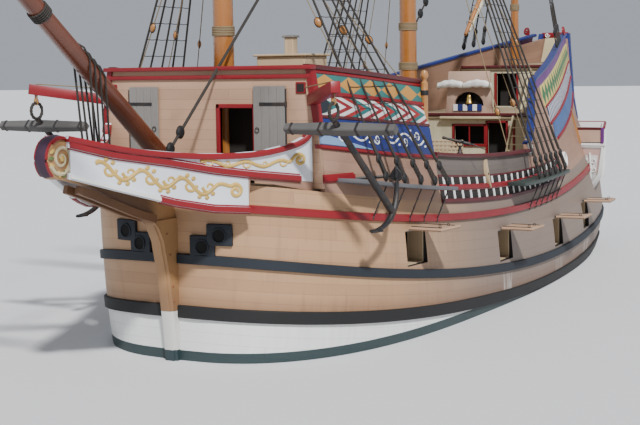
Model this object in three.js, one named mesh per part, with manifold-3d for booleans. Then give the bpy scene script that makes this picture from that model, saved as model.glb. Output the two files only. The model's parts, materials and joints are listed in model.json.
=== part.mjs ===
// A three-masted merchant ship of the early 17th century, at full size.
// Millimetres. Bow towards -Y, port side +X, up +Z, origin amidships on the waterline.
import * as THREE from 'three';
import { mergeVertices } from 'three/addons/utils/BufferGeometryUtils.js';
import Module from 'manifold-3d';

const wasm = await Module();
wasm.setup();

// Driving dimensions.
const GAP = 0.3;                 // between pieces that touch
const RUN_GAP = 8;               // round a piece that turns
const KEEL_HALF = 130;           // half thickness of keel, stem and sternpost rabbets
const KEEL_Z = -3150;            // rabbet of the keel
const KEEL_DEPTH = 350;
const MAX_HALF = 3790;           // greatest half breadth, just above the water
const WIDE_Z = 700;              // height of the greatest breadth
const TUMBLEHOME = 430;          // how far the side leans in over TUMBLEHOME_RISE
const TUMBLEHOME_RISE = 3300;
const MID_Y = -2000;             // the fullest section
const STEM_Y = -11200;           // rabbet of the stem above water
const FOREFOOT = 2300;           // how far the stem curves aft below water
const STERN_Y = 10900;           // sternpost at the waterline
const STERN_RAKE = 0.16;
const SHEER_LOW_Y = 500;
const SHEER_LENGTH = 11600;
const DECK_Z = 2740;             // underside of the main deck planks amidships
const DECK_SHEER = 1050;
const PLANK = 60;                // deck planking
const WALL = 120;                // topside planking with its frames
const FORECASTLE_FRONT = -9720;
const FORECASTLE_BACK = -5250;
const QUARTER_START = 1000;
const HALF_DECK_FRONT = 4400;
const POOP_FRONT = 7500;

// Half breadth of the flat stern: height, half breadth.
const TRANSOM = [
  [-1500, 130], [-700, 700], [0, 1600], [700, 1950], [1500, 2050],
  [3000, 1800], [3600, 1400], [4200, 1000], [5000, 800], [7200, 500], [8200, 450],
];

// Thick planks that stand proud of the side: centre height where it is lowest, half height, rise from there
// over a length along the ship, where it is lowest, thickness, forward end.
const WALES = [
  { z: 150, half: 135, rise: 650, over: 12000, lowY: 3000, thick: 70, from: STEM_Y },
  { z: 820, half: 105, rise: 980, over: 12000, lowY: 3000, thick: 70, from: STEM_Y },
  { z: 2370, half: 75, rise: 930, over: 11600, lowY: 500, thick: 60, from: -10900 },
];
const waleEdge = (wale, sign, y) => (
  wale.z + sign * wale.half + wale.rise * ((y - wale.lowY) / wale.over) ** 2);

const PAINT = {
  hull: [0xb08f78, 0.7], black: [0x15171a, 0.6], red: [0x8e1519, 0.5], cream: [0xe9e0c0, 0.6],
  white: [0xf0eee8, 0.55], tan: [0xc9a585, 0.7], deck: [0xb59c78, 0.8], mast: [0xd9791b, 0.35],
  bowsprit: [0x6d2a17, 0.4], weathered: [0x9a938a, 0.85], iron: [0x1b1c1e, 0.5], rope: [0x241f1b, 0.9],
};

const ship = new THREE.Group();

function add(name, geometry, paint) {
  const [color, roughness] = PAINT[paint];
  const mesh = new THREE.Mesh(geometry, new THREE.MeshStandardMaterial({ color, roughness, metalness: 0 }));
  mesh.name = name;
  ship.add(mesh);
  return geometry;
}

// Joining and cutting.
function toSolid(geometry) {
  const bare = geometry.clone();
  for (const key of ['normal', 'uv']) bare.deleteAttribute(key);
  const merged = mergeVertices(bare, 1e-3);
  return new wasm.Manifold(new wasm.Mesh({
    numProp: 3,
    vertProperties: new Float32Array(merged.attributes.position.array),
    triVerts: new Uint32Array(merged.index.array),
  }));
}

function toGeometry(solid) {
  const mesh = solid.getMesh();
  const geometry = new THREE.BufferGeometry();
  geometry.setAttribute('position', new THREE.BufferAttribute(new Float32Array(mesh.vertProperties), 3));
  geometry.setIndex(new THREE.BufferAttribute(new Uint32Array(mesh.triVerts), 1));
  return geometry;
}

const join = (...parts) => toGeometry(parts.map(toSolid).reduce((a, b) => a.add(b)));
const cut = (body, ...tools) => toGeometry(tools.map(toSolid).reduce((a, b) => a.subtract(b), toSolid(body)));
const moved = (geometry, x, y, z) => geometry.clone().translate(x, y, z);

// A cut that leaves a small gap round the tool, sideways and fore and aft.
function cutClear(body, tool, gap = GAP) {
  const shifts = [[gap, 0, 0], [-gap, 0, 0], [0, gap, 0], [0, -gap, 0], [0, 0, gap], [0, 0, -gap]];
  return cut(body, ...shifts.map(([x, y, z]) => moved(tool, x, y, z)));
}

function mirrored(geometry) {
  const copy = geometry.index ? geometry.toNonIndexed() : geometry.clone();
  copy.scale(-1, 1, 1);
  const position = copy.attributes.position.array;
  for (let i = 0; i < position.length; i += 9) {
    for (let k = 0; k < 3; k += 1) {
      [position[i + 3 + k], position[i + 6 + k]] = [position[i + 6 + k], position[i + 3 + k]];
    }
  }
  return copy;
}

// Plain shapes.
function box(x0, x1, y0, y1, z0, z1) {
  const geometry = new THREE.BoxGeometry(x1 - x0, y1 - y0, z1 - z0);
  return geometry.translate((x0 + x1) / 2, (y0 + y1) / 2, (z0 + z1) / 2);
}

function rod(from, to, r0, r1 = r0, sides = 10) {
  const a = new THREE.Vector3(...from);
  const b = new THREE.Vector3(...to);
  const along = b.clone().sub(a);
  const geometry = new THREE.CylinderGeometry(r1, r0, along.length(), sides, 1);
  const turn = new THREE.Quaternion().setFromUnitVectors(new THREE.Vector3(0, 1, 0), along.normalize());
  return geometry.applyQuaternion(turn).translate(...a.add(b).multiplyScalar(0.5).toArray());
}

// A squared timber between two points, wide across and high in the upright plane of its run.
function beam(from, to, wide, high) {
  const a = new THREE.Vector3(...from);
  const b = new THREE.Vector3(...to);
  const along = b.clone().sub(a);
  const length = along.length();
  along.normalize();
  const across = new THREE.Vector3().crossVectors(along, new THREE.Vector3(0, 0, 1)).normalize();
  const up = new THREE.Vector3().crossVectors(across, along);
  const geometry = new THREE.BoxGeometry(wide, length, high);
  geometry.applyMatrix4(new THREE.Matrix4().makeBasis(across, along, up));
  return geometry.translate(...a.add(b).multiplyScalar(0.5).toArray());
}

// A shape turned round an upright axis from pairs of radius and height.
function turned(profile, sides, x = 0, y = 0) {
  const geometry = new THREE.LatheGeometry(profile.map(([r, z]) => new THREE.Vector2(r, z)), sides);
  return geometry.rotateX(Math.PI / 2).translate(x, y, 0);
}

// A plain upright drum.
const drum = (r, z0, z1, sides, y) => turned([[0, z0], [r, z0], [r, z1], [0, z1]], sides, 0, y);

// A ring with a square section, its profile closed on itself.
const ring = (inner, outer, z0, z1, sides, x, y) => (
  turned([[inner, z0], [outer, z0], [outer, z1], [inner, z1], [inner, z0]], sides, x, y));

function outline(points, holes = []) {
  const shape = new THREE.Shape(points.map(([a, b]) => new THREE.Vector2(a, b)));
  for (const hole of holes) shape.holes.push(new THREE.Path(hole.map(([a, b]) => new THREE.Vector2(a, b))));
  return shape;
}

// A plate whose outline lies in x and z, from y0 aft.
function plateXZ(shape, y0, thick) {
  const geometry = new THREE.ExtrudeGeometry(shape, { depth: thick, bevelEnabled: false });
  return geometry.rotateX(Math.PI / 2).translate(0, y0 + thick, 0);
}

// A plate whose outline lies in y and z, from x0 to port.
function plateYZ(shape, x0, thick) {
  const geometry = new THREE.ExtrudeGeometry(shape, { depth: thick, bevelEnabled: false });
  const basis = new THREE.Matrix4().makeBasis(
    new THREE.Vector3(0, 1, 0), new THREE.Vector3(0, 0, 1), new THREE.Vector3(1, 0, 0));
  return geometry.applyMatrix4(basis).translate(x0, 0, 0);
}

const rectangle = (a0, a1, b0, b1) => [[a0, b0], [a1, b0], [a1, b1], [a0, b1]];

// Six times the volume that the faces enclose; below zero when they point inwards.
function signedVolume(points, index) {
  let total = 0;
  for (let i = 0; i < index.length; i += 3) {
    const [a, b, c] = [0, 1, 2].map((k) => new THREE.Vector3(...points[index[i + k]]));
    total += a.dot(b.cross(c));
  }
  return total;
}

// A closed body from two grids of points that face each other.
function slab(front, back) {
  const rows = front.length;
  const columns = front[0].length;
  const points = [...front.flat(), ...back.flat()];
  const at = (side, i, j) => side * rows * columns + i * columns + j;
  const index = [];
  const quad = (a, b, c, d) => index.push(a, b, c, a, c, d);
  for (let i = 0; i < rows - 1; i += 1) {
    for (let j = 0; j < columns - 1; j += 1) {
      quad(at(0, i, j), at(0, i + 1, j), at(0, i + 1, j + 1), at(0, i, j + 1));
      quad(at(1, i, j), at(1, i, j + 1), at(1, i + 1, j + 1), at(1, i + 1, j));
    }
  }
  for (let i = 0; i < rows - 1; i += 1) {
    quad(at(0, i, 0), at(1, i, 0), at(1, i + 1, 0), at(0, i + 1, 0));
    quad(at(0, i, columns - 1), at(0, i + 1, columns - 1), at(1, i + 1, columns - 1), at(1, i, columns - 1));
  }
  for (let j = 0; j < columns - 1; j += 1) {
    quad(at(0, 0, j), at(0, 0, j + 1), at(1, 0, j + 1), at(1, 0, j));
    quad(at(0, rows - 1, j), at(1, rows - 1, j), at(1, rows - 1, j + 1), at(0, rows - 1, j + 1));
  }
  const geometry = new THREE.BufferGeometry();
  geometry.setAttribute('position', new THREE.Float32BufferAttribute(points.flat(), 3));
  geometry.setIndex(signedVolume(points, index) < 0 ? index.toReversed() : index);
  return geometry;
}

// The shape of the ship's side.
const lerp = (a, b, t) => a + (b - a) * t;
const sheer = (y) => ((y - SHEER_LOW_Y) / SHEER_LENGTH) ** 2;
const stemY = (z) => STEM_Y + FOREFOOT * (Math.max(-z, 0) / -KEEL_Z) ** 2.2;
const sternY = (z) => STERN_Y + STERN_RAKE * z;

function transomHalf(z) {
  if (z <= TRANSOM[0][0]) return TRANSOM[0][1];
  const i = Math.min(TRANSOM.findIndex(([height]) => height >= z), TRANSOM.length - 1);
  const [low, high] = i < 1 ? TRANSOM.slice(-2) : [TRANSOM[i - 1], TRANSOM[i]];
  return lerp(low[1], high[1], (z - low[0]) / (high[0] - low[0]));
}

function midshipHalf(z) {
  if (z > WIDE_Z) return MAX_HALF - TUMBLEHOME * ((z - WIDE_Z) / TUMBLEHOME_RISE) ** 1.5;
  const depth = Math.min((WIDE_Z - z) / (WIDE_Z - KEEL_Z), 1);
  return KEEL_HALF + (MAX_HALF - KEEL_HALF) * (1 - depth ** 3) ** 0.6;
}

function halfBreadth(y, z) {
  const wide = midshipHalf(z);
  const metres = z / 1000;
  const above = Math.max(metres, 0);
  const below = Math.min(metres, 0);
  if (y < MID_Y) {
    const run = Math.min((MID_Y - y) / (MID_Y - stemY(z)), 1);
    const bluff = 3.4 + 0.45 * above + 0.3 * below;
    const round = 2.5 + 0.05 * above + 0.04 * above ** 2 + 0.3 * below;
    return KEEL_HALF + (wide - KEEL_HALF) * (1 - run ** bluff) ** (1 / round);
  }
  const run = Math.min((y - MID_Y) / (sternY(z) - MID_Y), 1);
  const fine = 1.7 - 0.1 * Math.min(above, 4.2) + 0.72 * Math.min(Math.max((above - 3) / 1.2, 0), 1);
  const round = 1.5 - 0.1 * above + 0.35 * below;
  const stern = Math.min(transomHalf(z), wide);
  return stern + (wide - stern) * (1 - run ** fine) ** (1 / round);
}

// Stations run from the stem (0) to the stern (1); they are close together in the round of the bow.
const BOW_STATIONS = 11;
const STERN_STATIONS = 11;
const stations = [
  ...Array.from({ length: BOW_STATIONS }, (_, i) => ({ bow: true, k: (i / BOW_STATIONS) ** 2 })),
  ...Array.from({ length: STERN_STATIONS + 1 }, (_, i) => ({ bow: false, k: i / STERN_STATIONS })),
];

function stationPoint(station, height, proud = () => 0) {
  let y = 0;
  let z = height(0);
  for (let pass = 0; pass < 6; pass += 1) {
    y = station.bow ? lerp(stemY(z), MID_Y, station.k) : lerp(MID_Y, sternY(z), station.k);
    z = height(y);
  }
  return [halfBreadth(y, z) + proud(y), y, z];
}

const BOTTOM_STEPS = [1, 0.985, 0.95, 0.88, 0.76, 0.6, 0.4, 0.2];
const deckUnder = (y) => DECK_Z + DECK_SHEER * sheer(y);
const hullRows = BOTTOM_STEPS.map((t) => [() => WIDE_Z - t * (WIDE_Z - KEEL_Z), () => 0]);
for (const wale of WALES) {
  const edge = (sign) => (y) => waleEdge(wale, sign, y);
  const proud = (y) => (y > wale.from + 250 ? wale.thick : 0);
  const inner = (sign) => (y) => edge(sign)(y) + sign * 12;
  hullRows.push([inner(-1), () => 0], [edge(-1), proud], [edge(1), proud], [inner(1), () => 0]);
}
hullRows.push([deckUnder, () => 0]);

const hullSections = stations.map(
  (station) => hullRows.map(([height, proud]) => stationPoint(station, height, proud)));
const toStarboard = ([x, y, z]) => [-x, y, z];
const hullBlank = slab(hullSections.map((section) => section.map(toStarboard)), hullSections);

// Height of the faceted hull's top edge at any y.
const hullEdge = hullSections.map((section) => section.at(-1));
function hullTop(y) {
  const found = hullEdge.findIndex((p) => p[1] >= y);
  const i = found < 0 ? hullEdge.length - 1 : Math.max(found, 1);
  const [a, b] = [hullEdge[i - 1], hullEdge[i]];
  return lerp(a[2], b[2], (y - a[1]) / (b[1] - a[1]));
}
const deckTop = (y) => hullTop(y) + PLANK;

// Gunports: y of the middle of each, with its lid hinged along its upper edge.
const PORTS = [-6750, -1750, 2900, 6600];
const PORT_WIDE = 900;
const PORT_HIGH = 800;
const PORT_DEEP = 600;
const LID_OVERLAP = 16;
const LID_THICK = 70;
const LID_HANG = 60;             // hinge line above the opening
const HINGE_R = 28;
const LUG_WIDE = 70;
const LUG_DEEP = 150;
const LID_ROOT = HINGE_R * Math.SQRT2 + RUN_GAP; // clears the lugs' square corners
const SILL_RISE = 45;            // above the wale at its higher end
const waleTop = (y) => waleEdge(WALES[1], 1, y);
const portSill = (y) => SILL_RISE + Math.max(waleTop(y - PORT_WIDE / 2), waleTop(y + PORT_WIDE / 2));

function portFrame(y) {
  const sill = portSill(y);
  const head = sill + PORT_HIGH + LID_HANG;
  const step = PORT_WIDE / 2;
  const slope = (halfBreadth(y + step, head) - halfBreadth(y - step, head)) / (2 * step);
  const hinge = [halfBreadth(y, head) + 60, y, head];
  return { sill, head, hinge, turn: -Math.atan(slope) };
}

// Each port is drawn square to X and then turned to lie along the side.
function onSide(geometry, y) {
  const { hinge, turn } = portFrame(y);
  return geometry.rotateZ(turn).translate(...hinge);
}

const portHoles = [];
const hingeLugs = [];
const lids = [];
const BARREL = PORT_WIDE * 0.7;
for (const y of PORTS) {
  const { sill, head } = portFrame(y);
  const low = sill - head;
  portHoles.push(onSide(box(-PORT_DEEP, 400, -PORT_WIDE / 2, PORT_WIDE / 2, low, low + PORT_HIGH), y));
  for (const end of [-1, 1]) {
    const near = end * (BARREL / 2 + GAP);
    const far = near + end * LUG_WIDE;
    const lug = box(-LUG_DEEP, HINGE_R, Math.min(near, far), Math.max(near, far), -HINGE_R, HINGE_R);
    hingeLugs.push(onSide(lug, y));
  }
  const reach = PORT_HIGH + LID_HANG + LID_OVERLAP;
  const half = PORT_WIDE / 2 + LID_OVERLAP;
  const board = join(
    box(LID_ROOT, reach, -half, half, -HINGE_R, LID_THICK - HINGE_R),
    box(0, LID_ROOT + 12, -BARREL / 2 + 60, BARREL / 2 - 60, -HINGE_R + 4, HINGE_R - 4),
    rod([0, -BARREL / 2, 0], [0, BARREL / 2, 0], HINGE_R, HINGE_R, 10),
  );
  lids.push(onSide(board, y));
}

const bothSides = (list) => [...list, ...list.map(mirrored)];
const hull = cut(join(hullBlank, ...bothSides(hingeLugs)), ...bothSides(portHoles));
add('hull', hull, 'hull');
lids.forEach((lid, i) => {
  add(`gunport_lid_port_${i + 1}`, lid, 'tan');
  add(`gunport_lid_stbd_${i + 1}`, mirrored(lid), 'tan');
});

// Keel and sternpost, with the eyes that carry the rudder.
const POST_DEEP = 360;           // sternpost, fore and aft
const RUDDER_GAP = 30;
const RUDDER_HALF = 90;
const RUDDER_NOSE = 60;          // leading edge ahead of the hinge line
const RUDDER_TOP = 2850;
const EYES = [-2300, -500, 1300];
const EYE_R = 62;
const EYE_HIGH = 70;
const NOTCH_HIGH = 170;
const PIN_R = 30;
const keelBottom = KEEL_Z - KEEL_DEPTH;
const hingeY = (z) => sternY(z) + POST_DEEP + RUDDER_GAP + RUDDER_NOSE;
const raked = (near, far, z0, z1) => [
  [sternY(z0) + near, z0], [sternY(z0) + far, z0], [sternY(z1) + far, z1], [sternY(z1) + near, z1]];

const keelBar = plateYZ(outline([
  [stemY(KEEL_Z) - 320, KEEL_Z - GAP], [stemY(KEEL_Z) + 200, keelBottom],
  [sternY(keelBottom) + POST_DEEP, keelBottom], [sternY(KEEL_Z) + POST_DEEP, KEEL_Z - GAP],
]), -KEEL_HALF + 10, 2 * (KEEL_HALF - 10));
const post = plateYZ(outline(raked(GAP, POST_DEEP, keelBottom, 3050)), -KEEL_HALF + 10, 2 * (KEEL_HALF - 10));
const eyes = EYES.map((z) => join(
  box(-EYE_R, EYE_R, sternY(z) + 200, hingeY(z), z - EYE_HIGH / 2, z + EYE_HIGH / 2),
  drum(EYE_R, z - EYE_HIGH / 2, z + EYE_HIGH / 2, 12, hingeY(z)),
));
add('keel', join(keelBar, post, ...eyes), 'hull');

// The blade is widest low down; its nose is narrowed so that it turns clear of the post.
const nose = RUDDER_GAP + POST_DEEP;
const blade = plateYZ(outline([
  ...raked(nose + RUDDER_NOSE - 5, nose + 1350, keelBottom + 60, -900).slice(0, 2),
  [sternY(-900) + nose + 1250, -900], [sternY(600) + nose + 820, 600],
  [sternY(RUDDER_TOP) + nose + 480, RUDDER_TOP], [sternY(RUDDER_TOP) + nose + RUDDER_NOSE - 5, RUDDER_TOP],
]), -RUDDER_HALF, 2 * RUDDER_HALF);
const noseShape = raked(nose, nose + RUDDER_NOSE + 40, keelBottom + 60, RUDDER_TOP);
const bladeNose = plateYZ(outline(noseShape), -40, 80);
const notches = EYES.map((z) => drum(150, z - NOTCH_HIGH / 2, z + NOTCH_HIGH / 2, 16, hingeY(z)));
const pinFoot = EYE_HIGH / 2 + PIN_R * STERN_RAKE + GAP;
const pins = EYES.map((z) => rod(
  [0, hingeY(z + pinFoot), z + pinFoot], [0, hingeY(z + NOTCH_HIGH), z + NOTCH_HIGH], PIN_R, PIN_R, 10));
const rudder = join(cut(join(blade, bladeNose), ...notches), ...pins);
add('rudder', rudder, 'hull');

// Stem with the knee that carries the head, and the carved scroll at its tip.
const KNEE_HALF = 110;
const HEAD_TIP = [-14780, 4520];
const SCROLL_R = 400;
const headDeckTop = (y) => 3950 + (-11700 - y) * 0.16;
const headDeckUnder = (y) => headDeckTop(y) - PLANK;
const STEM_FRONT = [[-9100, keelBottom], [-10000, -3050], [-10800, -2050], [-11200, -1000], [-11350, 0],
  [-11450, 1000], [-11600, 2000], [-11740, 2600], [-11960, 3000], [-12570, 3300], [-13200, 3600],
  [-13940, 3940],
  [-14600, 4110]];
const stemBlank = plateYZ(outline([
  [stemY(KEEL_Z) + 190, keelBottom], ...STEM_FRONT, [-14950, 4500], [-14400, headDeckUnder(-14250) + 250],
  [-14250, headDeckUnder(-14250) - GAP], [-11720, headDeckUnder(-11720) - GAP], [STEM_Y + 80, 3780],
  [STEM_Y + 80, -200], [stemY(-2000) + 80, -2000], [stemY(-2800) + 100, -2800], [stemY(KEEL_Z) + 150, KEEL_Z],
]), -KNEE_HALF, 2 * KNEE_HALF);
const SCROLL_HALF = 150;
const scroll = rod([-SCROLL_HALF, ...HEAD_TIP], [SCROLL_HALF, ...HEAD_TIP], SCROLL_R, SCROLL_R, 20);
const hullClear = join(hullBlank, moved(hullBlank, 0, -GAP, 0));
const stem = cutClear(cut(join(stemBlank, scroll), hullClear), keelBar, 1);
add('stem', stem, 'tan');

// Walls that follow the side, from one station to another.
function sideWall(ys, bottom, top, rows, thick = WALL, endAt = null) {
  const point = (i, j, inset) => {
    let y = ys[i];
    let z = lerp(bottom(y), top(y), j / rows);
    if (endAt && i === ys.length - 1) {
      for (let pass = 0; pass < 6; pass += 1) {
        y = endAt(z);
        z = lerp(bottom(y), top(y), j / rows);
      }
    }
    return [halfBreadth(y, z) - inset, y, z];
  };
  const grid = (inset) => ys.map((_, i) => Array.from({ length: rows + 1 }, (__, j) => point(i, j, inset)));
  return slab(grid(thick), grid(0));
}

const steps = (from, to, count) => Array.from({ length: count + 1 }, (_, i) => lerp(from, to, i / count));
const onHull = (y) => hullTop(y) + GAP;
const waistTop = (y) => 3820 + 1150 * sheer(y);
const forecastleTop = (y) => 6180 - 0.083 * (y - FORECASTLE_FRONT);
// The quarter's rail climbs steeply at its forward end and then gently to the stern.
const QUARTER_CLIMB = { until: 3300, from: 4000, to: 5800, slope: 0.178 };
function quarterTop(y) {
  const { until, from, to, slope } = QUARTER_CLIMB;
  const t = Math.min((y - QUARTER_START) / (until - QUARTER_START), 1);
  return y > until ? to + slope * (y - until) : from + (to - from) * t * t * (3 - 2 * t);
}
const forecastleYs = steps(FORECASTLE_FRONT, FORECASTLE_BACK, 6);
const waistYs = steps(FORECASTLE_BACK + GAP, QUARTER_START, 6);
const quarterYs = steps(QUARTER_START + GAP, 11500, 12);

function addPair(name, geometry, paint) {
  add(`${name}_port`, geometry, paint);
  add(`${name}_stbd`, mirrored(geometry), paint);
}
const forecastleWall = sideWall(forecastleYs, onHull, forecastleTop, 5);
addPair('forecastle_side', forecastleWall, 'hull');
const waistWall = sideWall(waistYs, onHull, waistTop, 2);
addPair('waist_bulwark', waistWall, 'hull');
const quarterWall = sideWall(quarterYs, onHull, quarterTop, 6, WALL, sternY);
addPair('quarter_side', quarterWall, 'hull');

// Upper stern, closing the sides.
const sternHeights = [hullTop(11450) + GAP + 2, 4200, 4700, 5300, 5900, 6500, 7000, 7250];
const TRANSOM_THICK = 100;
const sternGrid = (back) => sternHeights.map((z) => [-1, 1].map((side) => (
  [side * transomHalf(z), sternY(z) + GAP + back, z])));
add('transom', slab(sternGrid(0), sternGrid(TRANSOM_THICK)), 'hull');

// Decks: a plate that keeps clear of the side walls.
const headPlaneX = (y) => 200 + (y + 14700) * 0.51;
const HEAD_SKIN = 80;
const RAIL_THICK = 130;
const headInner = (y) => headPlaneX(y) - HEAD_SKIN / 2 / Math.cos(Math.atan(0.51)) - 0.5;

function deckPlate(points, thick = PLANK) {
  const grid = (lift) => points.map(([x, y, z]) => [[-x, y, z + lift], [x, y, z + lift]]);
  return slab(grid(0), grid(thick));
}
const mainDeckPoints = hullEdge.slice(2).map(([x, y, z]) => {
  const inside = Math.min(x, halfBreadth(y, z + PLANK)) - WALL - 25;
  const room = y < FORECASTLE_FRONT ? Math.min(x - 150, headInner(y)) : inside;
  return [room, y, z + GAP];
});
add('main_deck', deckPlate(mainDeckPoints), 'deck');

const DECK_EDGE = 40;            // between an upper deck and the planking
const deckRun = (ys, height) => ys.map((y) => [halfBreadth(y, height(y)) - WALL - DECK_EDGE, y, height(y)]);
const forecastleDeckUnder = (y) => 5740 - 0.06 * (y - FORECASTLE_FRONT);
const halfDeckUnder = (y) => 4570 + 0.055 * (y - HALF_DECK_FRONT);
const poopUnder = (y) => 6050 + 0.04 * (y - POOP_FRONT);
const MAST_Y = { fore: -9060, main: 200, mizzen: 8200 };

// Masts: a straight pole with collars that carry the tops and yards.
// Columns: heel, head, radius at heel, radius at head.
const FORE = { heel: 0, head: 14600, r0: 245, r1: 190 };
const MAIN = { heel: 0, head: 17200, r0: 260, r1: 200 };
const MIZZEN = { heel: 0, head: 16800, r0: 150, r1: 80 };
// The lowest a flat foot of this radius can stand on a sloping deck.
const footing = (height, y, r) => Math.max(height(y - r), height(y + r)) + GAP;
FORE.heel = footing(deckTop, MAST_Y.fore, FORE.r0);
MAIN.heel = footing(deckTop, MAST_Y.main, MAIN.r0);
const mastRadius = (mast, z) => lerp(mast.r0, mast.r1, (z - mast.heel) / (mast.head - mast.heel));

function mastPole(mast, y, collars, grow = 0) {
  const profile = [[0, mast.heel], [mast.r0 + grow, mast.heel]];
  for (const z of collars) {
    const r = mastRadius(mast, z) + grow;
    profile.push([r, z - 90], [r + 75, z - 60], [r + 75, z], [r, z]);
  }
  profile.push([mast.r1 + grow, mast.head], [0, mast.head]);
  return turned(profile, 14, 0, y);
}

const TOP_FLOOR = 60;
const DOUBLING = 430;            // topmast ahead of the lower mast
const foreTopZ = 12900;
const mainTopZ = 15200;
const foreYardZ = 11600;
const mainYardZ = 13700;
const mizzenYardZ = 10400;

function cap(mast, y, radius) {
  const z0 = mast.head - 260;
  return cut(
    box(-260, 260, y - DOUBLING - 260, y + 220, z0, z0 + 200),
    turned([[0, z0 - 50], [radius + 2, z0 - 50], [radius + 2, z0 + 300], [0, z0 + 300]], 12, 0, y - DOUBLING),
  );
}
const foreTopmast = { heel: foreTopZ + TOP_FLOOR + GAP, head: 22400, r0: 135, r1: 60 };
const mainTopmast = { heel: mainTopZ + TOP_FLOOR + GAP, head: 26800, r0: 150, r1: 60 };
const foreTopsailZ = 16100;
const mainTopsailZ = 18900;
const foreMast = join(mastPole(FORE, MAST_Y.fore, [foreYardZ, foreTopZ - GAP]), cap(FORE, MAST_Y.fore, 137));
const mainMast = join(mastPole(MAIN, MAST_Y.main, [mainYardZ, mainTopZ - GAP]), cap(MAIN, MAST_Y.main, 152));
add('foremast', foreMast, 'mast');
add('mainmast', mainMast, 'mast');
add('fore_topmast', mastPole(foreTopmast, MAST_Y.fore - DOUBLING, [foreTopsailZ]), 'mast');
add('main_topmast', mastPole(mainTopmast, MAST_Y.main - DOUBLING, [mainTopsailZ]), 'mast');
MIZZEN.heel = footing(halfDeckUnder, MAST_Y.mizzen, MIZZEN.r0) + PLANK;
add('mizzenmast', mastPole(MIZZEN, MAST_Y.mizzen, [mizzenYardZ]), 'mast');

// Tops: round baskets with a floor, open above.
function basket(z, hole, y, size) {
  const profile = [[hole, z], [620 * size, z], [1080 * size, z + 800], [1030 * size, z + 800],
    [600 * size, z + TOP_FLOOR], [hole, z + TOP_FLOOR], [hole, z]];
  return turned(profile, 18, 0, y);
}
const foreBasket = basket(foreTopZ, mastRadius(FORE, foreTopZ) + 6, MAST_Y.fore, 1);
const mainBasket = basket(mainTopZ, mastRadius(MAIN, mainTopZ) + 6, MAST_Y.main, 1.12);
add('fore_top', foreBasket, 'tan');
add('main_top', mainBasket, 'tan');

// Decks with the masts passing through.
const mastHole = (mast, y, z) => {
  const r = mastRadius(mast, z) + 12;
  return turned([[0, z - 400], [r, z - 400], [r, z + 400], [0, z + 400]], 14, 0, y);
};
const forecastleDeck = cut(
  deckPlate(deckRun(steps(FORECASTLE_FRONT + GAP, FORECASTLE_BACK - 10, 6), forecastleDeckUnder)),
  mastHole(FORE, MAST_Y.fore, 5740));
add('forecastle_deck', forecastleDeck, 'deck');
add('half_deck', deckPlate(deckRun(steps(HALF_DECK_FRONT - 60, 11300, 6), halfDeckUnder)), 'deck');
const poopDeck = cut(
  deckPlate(deckRun(steps(POOP_FRONT - 60, 11850, 5), poopUnder)), mastHole(MIZZEN, MAST_Y.mizzen, 6100));
add('poop_deck', poopDeck, 'deck');

// Bulkheads, each a plate with its doorway and windows.
const BULKHEAD = 80;
const wallEdge = (y, heights, inset) => [
  ...heights.map((z) => [halfBreadth(y, z) - inset, z]),
  ...heights.toReversed().map((z) => [inset - halfBreadth(y, z), z]),
];
const frontFoot = footing(deckTop, FORECASTLE_FRONT, BULKHEAD + 2);
const DOORWAY = { x0: 370, x1: 1220, head: 5310 };
const HEAD_DOOR = { x0: 1260, x1: 2040, foot: 3950, head: 5780, thick: 45 };
const doorHole = (side) => rectangle(
  ...[HEAD_DOOR.x0 + 50, HEAD_DOOR.x1 - 50].map((x) => side * x), HEAD_DOOR.foot + 50, HEAD_DOOR.head - 50);
const BRACKET_WIDE = 70;
const BRACKET_OUT = 25;          // beyond the door's edge and its hinge line
const BRACKET_LOW = 90;          // both below the door's foot
const BRACKET_TOP = 40;
const GRIP = 20;                 // let into the bulkhead
const HINGE_OUT = 45;            // door hinge line ahead of the bulkhead
const forecastleFace = FORECASTLE_FRONT - BULKHEAD - GAP;
const bracketAt = (side) => {
  const x = side * (HEAD_DOOR.x1 + BRACKET_OUT);
  return box(x - BRACKET_WIDE / 2, x + BRACKET_WIDE / 2, forecastleFace - HINGE_OUT - BRACKET_OUT,
    forecastleFace + GRIP, HEAD_DOOR.foot - BRACKET_LOW, HEAD_DOOR.foot - BRACKET_TOP);
};
const frontHeights = [frontFoot, 4300, 4900, 5500, 6180];
const forecastleFront = join(
  plateXZ(outline(wallEdge(FORECASTLE_FRONT, frontHeights, 0), [
    rectangle(DOORWAY.x0, DOORWAY.x1, frontFoot + 60, DOORWAY.head), doorHole(1), doorHole(-1),
  ]), forecastleFace, BULKHEAD),
  bracketAt(1), bracketAt(-1),
);
add('forecastle_front', forecastleFront, 'hull');

// Doors of the head, hung at their outer edges on the brackets.
const DOOR_PIN_R = 22;
const hingeLine = [HEAD_DOOR.x1 + BRACKET_OUT, forecastleFace - HINGE_OUT];
const headDoor = join(
  box(HEAD_DOOR.x0, HEAD_DOOR.x1 + 15, hingeLine[1] - HEAD_DOOR.thick / 2, hingeLine[1] + HEAD_DOOR.thick / 2,
    HEAD_DOOR.foot, HEAD_DOOR.head),
  rod([...hingeLine, HEAD_DOOR.foot - BRACKET_TOP + GAP], [...hingeLine, HEAD_DOOR.head - 60],
    DOOR_PIN_R, DOOR_PIN_R, 8),
);
addPair('forecastle_door', headDoor, 'weathered');

const backFoot = footing(deckTop, FORECASTLE_BACK - 200 + BULKHEAD / 2, BULKHEAD / 2);
const backTop = forecastleDeckUnder(FORECASTLE_BACK - 200) - 8;
add('forecastle_back', plateXZ(outline(
  wallEdge(FORECASTLE_BACK - 200, [backFoot, 4200, 4900, backTop], WALL + DECK_EDGE),
  [rectangle(-450, 450, backFoot + 60, backFoot + 1650)],
), FORECASTLE_BACK - 200, BULKHEAD), 'cream');

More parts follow.
